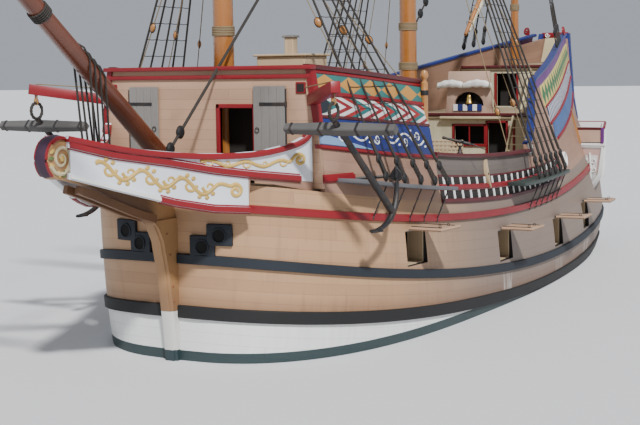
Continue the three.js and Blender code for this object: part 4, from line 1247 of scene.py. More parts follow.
@dataclass(frozen=True)
class HullPaint(Finish):
    """The hull's planks, stained and greyed towards amidships and aft by painted shade, with a white band under
    the lower wale and dark paint below it.
    """

    def paint(self, graph: Graph) -> bpy.types.Material:
        """Make the planks, the drips, the painted shade and the painted heights."""
        u, v = graph.uv()
        place = graph.place()
        _, y, z = graph.xyz(place)
        tone, seam = planking(graph, u, v, 0.235, 6.5, 3.0, 0.007, 0.006)
        fibre = graph.noise(graph.vector(u * 1.5, v * 40.0), 1.0, 4.0, 0.6)
        cloud = graph.noise(place, 0.6, 4.0, 0.55)
        drip = graph.noise(graph.vector(u * 9.0, z * 0.7), 1.0, 4.0, 0.55)
        tan = graph.mix((0.48, 0.29, 0.155), (0.36, 0.205, 0.11), tone * 0.5 + fibre * 0.25 + cloud * 0.25)
        # Painted shade: the planks grow darker and greyer from the bow towards amidships, and stay so aft.
        grey = graph.mix(tan, (0.16, 0.13, 0.115), y.ramp(-8.5, -2.0) * 0.85)
        stains_and_shade = graph.mix(grey, (0.2, 0.12, 0.08), drip.ramp(0.5, 0.75) * 0.3)
        rise = ((y - 3.0) / 12.0) * ((y - 3.0) / 12.0)
        black = z - (rise * WALES[0].rise + WALES[0].middle)
        above_wale = (black - 0.13).ramp(0.45, 0.0) * (black > 0.1)
        stains_and_shade = graph.mix(stains_and_shade, (0.17, 0.085, 0.045), above_wale * (0.35 + drip * 0.3))
        away = (y - PORTS[1]).size().least((y - PORTS[2]).size()).least((y - PORTS[3]).size())
        chalk = (drip.ramp(0.5, 0.58) * (z - rise * WALES[1].rise).ramp(0.9, 0.2) * (black > 0.13)
                 * away.ramp(0.5, 0.3))
        stains_and_shade = graph.mix(stains_and_shade, (0.6, 0.57, 0.53), chalk * 0.5)
        band = (black < 0.0) * (z > PAINT_LINE)
        pale = graph.mix((0.82, 0.83, 0.82), (0.62, 0.62, 0.6), drip)
        upper = graph.mix(stains_and_shade, pale, band)
        low = graph.mix((0.014, 0.035, 0.04), (0.03, 0.045, 0.045), drip)
        colour = graph.mix(upper, low, z < PAINT_LINE)
        colour = graph.shade(colour, seam * 0.28 + 0.72)
        height = fibre * 0.2 + seam * 0.8
        return graph.finish(Base_Color=colour, Roughness=cloud * 0.2 + fibre * 0.12 + 0.38,
                            Normal=graph.bump(height, 0.3, 0.006))


@dataclass(frozen=True)
class Wall:
    """A stretch of the topside's thick wall, from the hull's edge to its cap."""

    node: str
    start: float
    end: float
    top: Height
    finish: Finish
    thick: float = 0.12
    raked: bool = False

    def build(self) -> None:
        """Make the wall of each side, outside and inside."""
        for label, side in SIDES:
            node = f"{self.node}_{label}"
            piece = Piece(f"{node}_planks", "upper_works", SHIP, (node,))
            rings = []
            for a in steps(self.start, self.end, 48):
                run = steps(hull_edge(a), self.top(a) - 0.02, 8)
                ring = []
                for inner, heights in ((0.0, run), (self.thick, reversed(run))):
                    for z in heights:
                        rake = LINES.stern_rake * z if self.raked and a > RAKE_START else 0.0
                        y = min(a + rake, LINES.stern(z) - 0.004)
                        ring.append(Vector((side * (LINES.half(y, z) - inner), y, z)))
                rings.append(ring)
            piece.loft(rings, self.finish)
            piece.done()


HEAD_LEAN = math.atan(0.51)
LOWER_RAIL = ((-14.68, 4.13), (-13.89, 3.865), (-12.7, 3.48), (-11.95, 3.31), (-11.23, 3.235))
MIDDLE_RAIL = ((-14.68, 4.72), (-13.87, 4.48), (-12.78, 4.27), (-11.93, 4.08), (-11.18, 3.95), (-10.11, 3.8))
TOP_RAIL = ((-14.68, 4.83), (-13.5, 4.54), (-12.39, 4.39), (-11.58, 4.35), (-10.96, 4.37), (-10.31, 4.49),
            (-9.99, 4.64), (-9.87, 4.86))
FORECASTLE_FRONT, FORECASTLE_BACK = -9.72, -5.25
FRONT_FACE = FORECASTLE_FRONT - 0.0803
BANDS_FRONT = FORECASTLE_FRONT - 0.06
DOOR_PIN_Y = -9.8453
CAT_X, CAT_Y = 3.84, -10.94
CHEEK_LINE = ((-14.35, 3.9), (-13.89, 3.75), (-12.7, 3.32), (-11.95, 3.1))


def head_surface(side: float) -> Place3:
    """Return the outer side of the head's slanting plane as a surface."""
    out_way = Vector((math.cos(HEAD_LEAN), -math.sin(HEAD_LEAN), 0.0))

    def place(y: float, z: float, out: float) -> Vector:
        point = Vector((0.2 + (y + 14.7) * 0.51, y, z)) + out_way * (out + 0.025)
        return Vector((side * point.x, point.y, point.z))
    return place


@dataclass
class StemWork:
    """The stem and its knee in ochre, with cheeks, bolts, paint bands and the carved scroll."""

    front: tuple[tuple[float, float], ...] = (
        (0.0, -11.35), (1.0, -11.45), (2.0, -11.6), (2.6, -11.74), (3.0, -11.96), (3.3, -12.57), (3.6, -13.2))
    tip: Vector = field(default_factory=lambda: Vector((0.0, -14.78, 4.52)))

    def build(self) -> None:
        """Dress the stem, then add what is fixed to it."""
        Dress("stem", "stem_wood", StemPaint("stem_paint"), 0.015, UP).build()
        Dress("keel", "hull_planks", BOTTOM, 0.015).build()
        piece = Piece("stem_fittings", "stem_wood")
        for _, side in SIDES:
            rings = []
            for z in steps(-0.9, 3.05, 26):
                y = along(self.front, z) if z > 0 else -11.35 + 0.15 * -z
                back = LINES.stem(z) + 0.25
                ring = [(0.1, y + 0.035), (0.165, y + 0.06), (0.17, back), (0.1, back)]
                rings.append([Vector((side * x, place, z)) for x, place in ring])
            piece.loft(rings, StemPaint("stem_paint"))
            for z in (1.3, 1.62, 2.3, 2.75):
                at = Vector((side * 0.17, lerp(along(self.front, z), LINES.stem(z), 0.4), z))
                piece.ball(at, 0.028, COPPER, (0.5, 1.0, 1.0))
            cheek = [Vector((side * 0.15, y, z)) for y, z in CHEEK_LINE]
            piece.sweep(cheek, bar(0.05, 0.08), KNEE_BROWN)
        piece.done()
        self.carving()

    def carving(self) -> None:
        """Carve the volute at the tip of the beak: scrolls, leaves and a coloured front edge."""
        piece = Piece("beak_volute", "carving")
        for _, side in SIDES:
            face = self.flank(side)
            piece.curl(face, (0.0, 0.0), 0.34, 1.9, 200.0, 0.085, 0.05, CREAM, 0.12, taper=0.55)
            piece.curl(face, (0.0, 0.0), 0.39, -0.45, 130.0, 0.05, 0.045, CRIMSON, 0.95)
            piece.ball(face(0.0, 0.0, 0.02), 0.06, VINE, (0.5, 1.0, 1.0))
            for i in range(7):
                angle = math.radians(150 + i * 26)
                at = face(0.3 * math.cos(angle), 0.3 * math.sin(angle), 0.015)
                leaf = Matrix.Rotation(-angle * side, 4, "X")
                piece.ball(at, 0.055, LEAF_GREEN if i % 2 else VINE, (0.45, 1.5, 0.7), 8, leaf)
        front = [self.tip + Vector((0.0, -0.4 * math.cos(a), 0.4 * math.sin(a))) for a in steps(-0.9, 1.9, 18)]
        piece.sweep(front, [(-0.1, -0.03), (0.1, -0.03), (0.12, 0.02), (0.0, 0.05), (-0.12, 0.02)], PLUM,
                    [p - self.tip for p in front])
        for x in (-0.135, 0.135):
            piece.tube([p + ABEAM * x for p in front], 0.028, CRIMSON)
        piece.done()

    def flank(self, side: float) -> Place3:
        """Return a side of the scroll as a surface round its eye."""
        return lambda a, b, out: self.tip + Vector((side * (0.15 + out), a, b))


@dataclass(frozen=True)
class StemPaint(Finish):
    """Ochre above with the knee under the head darkened as painted shade, brown by the lower wale, white below it
    and dark at the waterline.
    """

    def paint(self, graph: Graph) -> bpy.types.Material:
        """Make the painted heights over a lengthwise grain."""
        x, y, z = graph.xyz(graph.place())
        fibre = graph.noise(graph.vector(z * 1.2, (x + y) * 40.0), 1.0, 4.0, 0.6)
        cloud = graph.noise(graph.place(), 1.3, 3.0)
        ochre = graph.mix((0.4, 0.225, 0.1), (0.27, 0.14, 0.055), fibre * 0.6 + cloud * 0.4)
        # Painted shade: the knee under the head is darkened to a deep brown where the head's shadow falls.
        knee = graph.mix(ochre, (0.13, 0.065, 0.03), (0.0 - y).ramp(11.7, 12.2) * (z > 2.0) * (z < 3.95))
        brown = graph.mix(knee, (0.2, 0.11, 0.055), z.ramp(1.9, 1.35) * 0.8)
        white = graph.mix(brown, (0.58, 0.57, 0.54), z < 1.08)
        low = graph.mix(white, (0.018, 0.035, 0.04), z < 0.24)
        return graph.finish(Base_Color=low, Roughness=cloud * 0.2 + 0.4, Normal=graph.bump(fibre, 0.25, 0.006))


@dataclass(frozen=True)
class HeadPaint(Finish):
    """White panels above the middle rail, and the side's tan below it near the hull."""

    def paint(self, graph: Graph) -> bpy.types.Material:
        """Make the two painted parts."""
        _, y, z = graph.xyz(graph.place())
        fibre = graph.noise(graph.vector(y * 2.0, z * 40.0), 1.0, 4.0, 0.6)
        cloud = graph.noise(graph.place(), 1.3, 3.0)
        white = graph.mix((0.72, 0.74, 0.79), (0.56, 0.58, 0.63), cloud)
        tan = graph.mix((0.36, 0.215, 0.15), (0.25, 0.14, 0.095), fibre * 0.5 + cloud * 0.5)
        colour = graph.mix(white, tan, (z < (y * -0.14 + 2.4)) * (y > -11.25))
        normal = graph.bump(fibre, 0.2, 0.005)
        return graph.finish(Base_Color=colour, Roughness=cloud * 0.2 + 0.45, Normal=normal)


def lower_rail(y: float) -> float:
    """Return the height of the head's lower rail."""
    return along(LOWER_RAIL, y)


def middle_rail(y: float) -> float:
    """Return the height of the head's middle rail."""
    return along(MIDDLE_RAIL, y)


def top_rail(y: float) -> float:
    """Return the height of the head's top rail."""
    return along(TOP_RAIL, y)


@dataclass(frozen=True)
class RunningVine:
    """A carved stem that waves between two rails, with a scroll at its end.

    The stem takes `parts` steps from `start` to `end`, `swing` high and `waves` half turns long from `phase`
    on; `size` is its width and height, and `base` is how far the panel stands out that it lies on.
    """

    low: Height
    high: Height
    start: float
    end: float
    parts: int
    swing: float
    waves: float
    phase: float
    eye: float
    eye_scroll: tuple[float, float, float]
    size: tuple[float, float]
    base: float

    def middle(self, y: float) -> float:
        """Return the height halfway between the rails."""
        return (self.low(y) + self.high(y)) / 2

    def carve(self, piece: Piece, face: Place3) -> None:
        """Lay the stem on a surface."""
        points = []
        for t in steps(0.0, 1.0, self.parts):
            y = lerp(self.start, self.end, t)
            wave = math.sin(t * math.pi * self.waves + self.phase)
            points.append((y, self.middle(y) + self.swing * wave))
        radius, turns, start = self.eye_scroll
        points += spiral((self.eye, self.middle(self.eye)), radius, turns, start, 0.2, 10)[1:]
        piece.relief(face, points, *self.size, VINE, 3, base=self.base)


@dataclass
class HeadRails:
    """The head's rails, painted panels and their vines, on both sides of the beak."""

    def build(self) -> None:
        """Dress the solid sides as white panels and lay rails and vines on them."""
        start = -14.66
        for label, side in SIDES:
            Dress(f"head_side_{label}", "white_paint", HeadPaint("head_paint"), 0.008).build()
            face, bow = head_surface(side), side_surface(side)
            piece = Piece(f"head_rails_{label}", "red_paint")
            for near, far, base, edges, proud, finish, count in (
                    (start, -13.0, lower_rail, (0.0, 0.12), 0.075, WHITE, 16),
                    (-13.0, -11.21, lower_rail, (-0.03, 0.15), 0.085, CRIMSON, 20),
                    (start, -10.13, middle_rail, (-0.03, 0.16), 0.09, CRIMSON, 36)):
                piece.rail(face, near, far, base, edges, proud, finish, Edge.MOULDED, count, back=0.05)
            piece.rail(bow, BANDS_FRONT, -8.9, level(3.74), (0.0, 0.18), 0.07, CRIMSON, Edge.MOULDED, 10)
            piece.rail(bow, -8.9, -7.3, lambda y: 3.76 - 0.03 * (y + 8.9), (0.0, 0.06), 0.035, STOCK_GREY,
                       Edge.ROUND, 14)
            path = [face(p[0], p[1] + 0.055, 0.0) for p in smooth_line(TOP_RAIL, 4)]
            piece.sweep(path, [(-0.07, -0.055), (0.08, -0.055), (0.1, -0.02), (0.1, 0.03), (0.08, 0.06),
                               (-0.07, 0.06)], CRIMSON)
            piece.strip(face, -12.35, -9.9, lambda y: max(middle_rail(y) + 0.17, 4.0),
                        lambda y: top_rail(y) - 0.03, 0.012, PANEL_WHITE, count=24)
            piece.done()
            self.vines(label, face)

    @staticmethod
    def vines(label: str, face: Place3) -> None:
        """Carve the two running vines of one side, with their side shoots and leaves."""
        piece = Piece(f"head_vines_{label}", "carving")
        lower = RunningVine(lambda y: lower_rail(y) + 0.12, middle_rail, -14.2, -11.75, 22, 0.13, 6.4, 0.6,
                            -11.5, (0.17, -1.5, 170.0), (0.09, 0.045), 0.0)
        lower.carve(piece, face)
        for i in range(6):
            y = lerp(lower.start, lower.end, (i + 0.45) / 6.4)
            middle = lower.middle(y)
            flip = 1.0 if i % 2 else -1.0
            piece.curl(face, (y + 0.08, middle + flip * 0.02), 0.14, flip * 1.1, 90.0 * flip + 90.0, 0.085,
                       0.04, VINE, parts=10, taper=0.4)
            for dy, dz in ((0.17, 0.12), (-0.1, 0.16), (0.05, 0.19)):
                piece.ball(face(y + dy, middle - flip * dz, 0.0), 0.055, VINE, (0.6, 1.6, 0.9), 8)
        upper = RunningVine(lambda y: middle_rail(y) + 0.13, top_rail, -12.2, -10.35, 16, 0.05, 5.0, 0.0,
                            -10.13, (0.15, -1.4, 180.0), (0.075, 0.036), 0.012)
        upper.carve(piece, face)
        for i, y in enumerate(steps(-12.05, -10.5, 4)):
            flip = 1.0 if i % 2 else -1.0
            piece.curl(face, (y, upper.middle(y)), 0.1, flip, 90.0 * flip + 90.0, 0.045, 0.03, VINE, 0.25, 8,
                       0.4, 0.012)
        piece.done()


@dataclass
class Hawse:
    """The slate plates with two hawse holes on each bow."""

    def build(self) -> None:
        """Set the plates on the bow and give each a turned lip and a hole, a near-black disc of painted shade."""
        piece = Piece("hawse_plates", "iron")
        lip = [(0.165, 0.03), (0.155, 0.045), (0.165, 0.07), (0.155, 0.082), (0.14, 0.08), (0.13, 0.05)]
        for _, side in SIDES:
            for x, z in ((0.8, 2.47), (1.2, 2.72)):
                y = self.bow_y(x, z)
                matrix = turned(LINES.normal(side, y, z), Vector((side * x, y, z)))
                piece.box((-0.29, -0.22, -0.03), (0.29, 0.24, 0.055), SLATE, 0.05, matrix, 3)
                piece.turning(lip, matrix, SLATE, 24)
                # Painted shade: the hole is a near-black disc.
                piece.turning([(0.135, 0.058), (0.0, 0.0585)], matrix, SHADE_BLACK, 20)
        piece.done()

    @staticmethod
    def bow_y(x: float, z: float) -> float:
        """Return y where the bow's side is at x, at a height."""
        near, far = LINES.stem_y + 1e-4, -8.0
        for _ in range(30):
            mid = (near + far) / 2
            near, far = (mid, far) if LINES.half(mid, z) < x else (near, mid)
        return near


@dataclass
class Anchors:
    """The anchors under their catheads, with wooden stocks, and the red catheads themselves."""

    shank_head: tuple[float, float, float] = (CAT_X, -10.92, 5.1)
    crown: tuple[float, float, float] = (3.95, -8.65, 3.08)

    def build(self) -> None:
        """Dress catheads and anchors, and add shanks, rings, stocks, arms and tackles."""
        for label, side in SIDES:
            Dress(f"cathead_{label}", "red_paint", CRIMSON, 0.015, Vector((0.6, -0.8, 0.1))).build()
            piece = Piece(f"anchor_{label}_looks", "iron", SHIP, (f"anchor_{label}",))
            shank, crown = (Vector((side * x, y, z)) for x, y, z in (self.shank_head, self.crown))
            run = (crown - shank).normalized()
            piece.spar([(shank, 0.06), (shank.lerp(crown, 0.1), 0.066), (crown, 0.082)], IRON, 14)
            centre = Vector((side * CAT_X, CAT_Y, 5.28))
            ring = [centre + Vector((0.0, 0.18 * math.cos(a), 0.18 * math.sin(a))) for a in round_angles(28)]
            puddening = lambda t: 1.0 + 0.35 * (math.sin(t * math.pi * 28) > 0)
            piece.tube(ring, 0.03, TARRED, 10, puddening, closed=True)
            across = Matrix((ABEAM, run, ABEAM.cross(run))).transposed().to_4x4()
            self.stock(piece, Matrix.Translation(shank + run * 0.26) @ across)
            self.arms(piece, crown, run)
            piece.done()
            self.tackle(label, side)

    @staticmethod
    def stock(piece: Piece, matrix: Matrix) -> None:
        """Make the wooden stock: two tapered halves with iron bands."""
        size = lambda x: lerp(0.11, 0.085, x / 1.25)
        corners = ((-1, -0.8), (-0.8, -1), (0.8, -1), (1, -0.8), (1, 0.8), (0.8, 1), (-0.8, 1), (-1, 0.8))
        for half in (-1.0, 1.0):
            piece.loft([[matrix @ Vector((half * x, a * size(x), b * size(x))) for a, b in corners]
                        for x in steps(0.0, 1.25, 10)], STOCK_GREY)
            for x in (0.42, 1.1):
                s = size(x) + 0.004
                piece.box((half * x - 0.03, -s, -s), (half * x + 0.03, s, s), IRON, 0.004, matrix)

    @staticmethod
    def arms(piece: Piece, crown: Vector, run: Vector) -> None:
        """Make the two curved arms with their palms."""
        reach = Vector((0.0, -run.z, run.y)).normalized()
        outline = ((-0.15, -0.06), (-0.1, -0.135), (0.04, -0.12), (0.19, 0.0), (0.04, 0.12), (-0.1, 0.135),
                   (-0.15, 0.06))
        for half in (-1.0, 1.0):
            arm = [crown + run * (0.03 - 0.5 * math.sin(t) ** 2) + reach * (half * 0.86 * math.sin(t))
                   for t in steps(0.0, math.pi / 2, 10)]
            piece.tube(arm, 0.062, IRON, 10, lambda t: lerp(1.15, 0.5, t))
            tip = (arm[-1] - arm[-3]).normalized()
            face = ABEAM.cross(tip)
            palm = arm[-1] - tip * 0.17 - face * 0.02
            piece.plate([palm + tip * a + ABEAM * b for a, b in outline], face * 0.04, IRON, 0.005, tip)

    @staticmethod
    def tackle(label: str, side: float) -> None:
        """Lead the cat tackle from the cathead's sheaves to the anchor's ring."""
        piece = Piece(f"cat_tackle_{label}", "rope")
        head = Vector((side * CAT_X, CAT_Y, 5.72))
        ring = Vector((side * CAT_X, CAT_Y, 5.47))
        for shift in (-0.05, 0.0, 0.05):
            aside = Vector((shift, -shift, 0.0))
            piece.tube([head + aside, ring + aside], 0.014, HEMP)
        piece.ball(ring + UP * 0.02, 0.075, ORANGE_WOOD, (0.8, 0.8, 1.2))
        piece.tube([head + UP * 0.16, Vector((side * 2.3, -9.62, 5.72))], 0.014, HEMP)
        piece.done()


@dataclass(frozen=True)
class Layer:
    """One board, rail or painted band of a topside, by its distance below the cap."""

    high: float
    low: float
    proud: float
    finish: Finish
    edge: Edge = Edge.FLAT
    start: float | None = None


@dataclass
class SideBands:
    """Rails and painted bands laid on the outside of a topside wall, on both sides."""

    name: str
    slot: str
    start: float
    end: float
    cap: Height
    layers: tuple[Layer, ...]
    cap_finish: Finish
    cap_half: float = 0.1

    def build(self) -> None:
        """Lay the bands and the cap rail."""
        for label, side in SIDES:
            face = side_surface(side)
            piece = Piece(f"{self.name}_{label}", self.slot)
            for layer in self.layers:
                start = self.start if layer.start is None else layer.start
                end = min(self.end, LINES.stern(self.cap(self.end) - layer.low) - 0.02)
                piece.rail(face, start, end, self.cap, (-layer.low, -layer.high), layer.proud, layer.finish,
                           layer.edge, max(int((end - start) * 7), 8), unit=isinstance(layer.finish, Band))
            path = []
            for y in steps(self.start - 0.03, self.end + 0.02, 50):
                z = self.cap(y)
                path.append(Vector((side * (LINES.half(y, z) - 0.045), y, z)))
            w, h = self.cap_half, 0.05
            piece.sweep(path, [(-w, -h), (w, -h), (w + 0.02, -h * 0.3), (w + 0.02, h * 0.4), (w * 0.8, h),
                               (-w * 0.8, h), (-w - 0.02, h * 0.4), (-w - 0.02, -h * 0.3)], self.cap_finish)
            piece.done()


def blue_low(y: float) -> float:
    """Return the lower edge of the blue scroll band."""
    return 3.85 + 0.9 * LINES.sheer(y)


def blue_high(y: float) -> float:
    """Return its upper edge."""
    return forecastle_cap(y) - 1.08


@dataclass
class ForecastleWork:
    """The forecastle: its front, doors, painted side bands, scrolls and the box on its deck."""

    def build(self) -> None:
        """Build it from the front to the deck."""
        self.front()
        self.doors()
        self.side_bands()
        self.scrolls()
        self.deck()

    def front(self) -> None:
        """Frame the front's openings, fill them with painted shade and cap the front with a double red rail."""
        # Painted light: the front takes the lighter, sunlit copy of the tan.
        Dress("forecastle_front", "hull_planks", SUNLIT_FRONT_TAN, 0.006, ABEAM).build()
        Dress("forecastle_back", "cream_paint", CREAM, 0.006, UP).build()
        piece = Piece("forecastle_front_trim", "red_paint")
        y = FRONT_FACE
        half = LINES.half(FORECASTLE_FRONT, 6.1)
        for z, reach, out in ((6.17, 0.1, 0.12), (5.98, 0.02, 0.05)):
            piece.box((-half - reach, y - out, z - 0.045), (half + reach, y + 0.1, z + 0.045), CRIMSON, 0.02,
                      segments=2)
        post = ((-0.1, -0.04), (0.03, -0.04), (0.045, 0.0), (0.045, 0.14), (-0.1, 0.14))
        for side in (PORT, STARBOARD):
            rings = []
            for z in steps(4.75, 6.16, 8):
                x = side * (LINES.half(FORECASTLE_FRONT, z) + 0.02)
                rings.append([Vector((x + side * a, y + b, z)) for a, b in post])
            piece.loft(rings, CRIMSON)
        x0, x1, foot, head = 0.37, 1.22, 3.84, 5.31
        piece.surround((x0, foot), (x1, head), 0.09, y - 0.045, y + 0.085, 0.012)
        # Painted shade: a near-black board behind the doorway stands in for the dark inside.
        piece.box((x0 - 0.2, y + 0.6, foot), (x1 + 0.2, y + 0.62, head + 0.1), SHADE_DARK, 0.0)
        # Painted shade: each red frame holds a near-black square for the dark opening.
        for x, z in ((-2.55, 5.72), (2.42, 5.74), (-1.85, 4.35)):
            piece.box((x - 0.12, y - 0.03, z - 0.12), (x + 0.12, y + 0.02, z + 0.12), CRIMSON, 0.012)
            piece.box((x - 0.085, y - 0.034, z - 0.085), (x + 0.085, y - 0.028, z + 0.085), SHADE_DARK, 0.0)
        piece.done()

    @staticmethod
    def doors() -> None:
        """Plank the two doors, weathered grey, with iron straps, bars and a ring."""
        for label, side in SIDES:
            node = f"forecastle_door_{label}"
            low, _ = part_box(node)
            piece = Piece(f"{node}_looks", "weathered_wood", f"{node}_body", (node,))
            front, back = low.y + 0.003, low.y + 0.045
            hinge = side * 2.065
            pin = lambda z: Vector((hinge, DOOR_PIN_Y, z))
            seams = steps(*sorted((side * 1.26, side * 2.05)), 4)
            for a, b in zip(seams, seams[1:]):
                piece.box((a + 0.003, front, 3.95), (b - 0.003, back, 5.78), GREY_WOOD, 0.006)
            a, b = sorted((hinge, side * 1.42))
            for z in (4.3, 5.4):
                piece.box((a, front - 0.012, z - 0.035), (b, front, z + 0.035), IRON, 0.003)
                piece.tube([pin(z - 0.06), pin(z + 0.06)], 0.028, IRON, 10)
            piece.tube([pin(3.915), pin(5.72)], 0.018, IRON, 10)
            grip = Vector((side * 1.36, front - 0.02, 4.85))
            piece.hoop(grip, ABEAM * 0.05, UP * 0.05, 0.008, IRON, parts=16)
            piece.done()

    def side_bands(self) -> None:
        """Lay the triangle, chevron and blue bands between red rails."""
        layers = (
            Layer(0.05, 0.14, 0.03, CRIMSON, Edge.ROUND), Layer(0.14, 0.52, 0.012, TRIANGLES),
            Layer(0.5, 0.6, 0.05, CRIMSON, Edge.MOULDED), Layer(0.6, 1.0, 0.014, CHEVRONS),
            Layer(1.0, 1.08, 0.04, DARK_RED, Edge.ROUND),
        )
        start, end = BANDS_FRONT, FORECASTLE_BACK
        SideBands("forecastle_bands", "upper_works", start, end, forecastle_cap, layers, DARK_RED).build()
        for label, side in SIDES:
            face = side_surface(side)
            piece = Piece(f"forecastle_blue_{label}", "blue_paint")
            piece.strip(face, start, end, blue_low, blue_high, 0.022, BLUE, count=36)
            piece.rail(face, start - 0.1, end + 0.05, blue_low, (-0.09, 0.0), 0.06, CRIMSON, Edge.MOULDED, 36)
            piece.strip(face, start, -8.1, lambda y: blue_low(y) + 0.01,
                        lambda y: blue_low(y) + 0.02 + 0.22 * (-8.1 - y) / 1.6, 0.03, LIGHT_BLUE, count=14)
            z = forecastle_cap(start) - 0.8
            tip = ((0.02, -0.17), (0.02, 0.17), (0.28, 0.17), (0.42, 0.0), (0.28, -0.17))
            piece.plate([face(start + a, z + b, 0.034) for a, b in tip],
                        face(start + 0.2, z, 0.0) - face(start + 0.2, z, 0.02), SLATE, 0.0)
            post = face(FORECASTLE_BACK - 0.02, 5.3, 0.03)
            post_frame = Matrix.Translation((post.x, post.y, 4.75))
            piece.turning([(0.05, 0.0), (0.085, 0.03), (0.085, 0.72), (0.09, 0.73), (0.09, 0.85), (0.085, 0.86),
                           (0.085, 1.02), (0.05, 1.06), (0.05, 1.1), (0.095, 1.16), (0.1, 1.22), (0.07, 1.3),
                           (0.0, 1.33)], post_frame, ORANGE_WOOD)
            piece.turning([(0.092, 0.73), (0.094, 0.74), (0.094, 0.84), (0.092, 0.85)], post_frame, BLACK)
            piece.done()

    @staticmethod
    def scrolls() -> None:
        """Paint a white running scroll on the blue band, a wave with a curl in each bend."""
        middle = lambda y: (blue_low(y) + blue_high(y)) / 2
        for label, side in SIDES:
            face = side_surface(side)
            piece = Piece(f"forecastle_scrolls_{label}", "carving")
            wave = [(y, middle(y) + 0.12 * math.sin((y + 9.4) * math.pi / 0.62)) for y in steps(-9.5, -5.6, 90)]
            piece.relief(face, wave, 0.045, 0.014, WHITE, 1, base=0.022)
            for i in range(6):
                y = -9.09 + i * 0.62
                flip = -1.0 if i % 2 else 1.0
                piece.curl(face, (y, middle(y) - flip * 0.06), 0.13, 1.3 * flip, 180.0, 0.04, 0.014, WHITE,
                           parts=12, taper=0.4, base=0.022)
                piece.ball(face(y + 0.31, middle(y) + flip * 0.17, 0.026), 0.035, WHITE, (0.5, 1.6, 0.8), 8)
            piece.done()

    @staticmethod
    def deck() -> None:
        """Dress the decks and put the pale box with its funnel on the forecastle's deck."""
        for node, finish in (("forecastle_deck", DECK), ("main_deck", DECK), ("half_deck", DECK),
                             ("poop_deck", DECK), ("beakhead_deck", GREY_PLANKS)):
            Dress(node, frame_slot(node), finish, 0.004).build()
        piece = Piece("forecastle_deck_box", "block_wood")
        low, high = 5.82, 6.42
        piece.box((0.5, -8.5, low), (1.75, -7.5, high), PALE_WOOD, 0.02)
        piece.box((0.44, -8.56, high), (1.81, -7.44, high + 0.05), PALE_WOOD, 0.015)
        piece.box((1.0, -8.12, high), (1.22, -7.9, high + 0.42), PALE_WOOD, 0.012)
        piece.box((0.96, -8.16, high + 0.42), (1.26, -7.86, high + 0.47), GREY_WOOD, 0.01)
        # Painted shade: a near-black square in the funnel's mouth.
        piece.box((1.03, -8.09, high + 0.471), (1.19, -7.93, high + 0.476), SHADE_DARK, 0.0)
        piece.done()


def frame_slot(node: str) -> str:
    """Return the record's material slot of a node."""
    return {part["node"]: part["material_slot"] for part in frame["record"]["subparts"]}[node]


CHESSTREE_Y, HALF_DECK_Y, GALLERY_POST_Y = -2.4, 4.4, 8.47
LADDERS = ((1.85, 3.3, 4.2, 2.9, 4.63), (-1.85, 3.3, 4.2, 2.9, 4.63), (1.2, 6.5, 7.3, 4.75, 6.05),
           (-1.9, -4.3, -5.0, 3.0, 5.5))


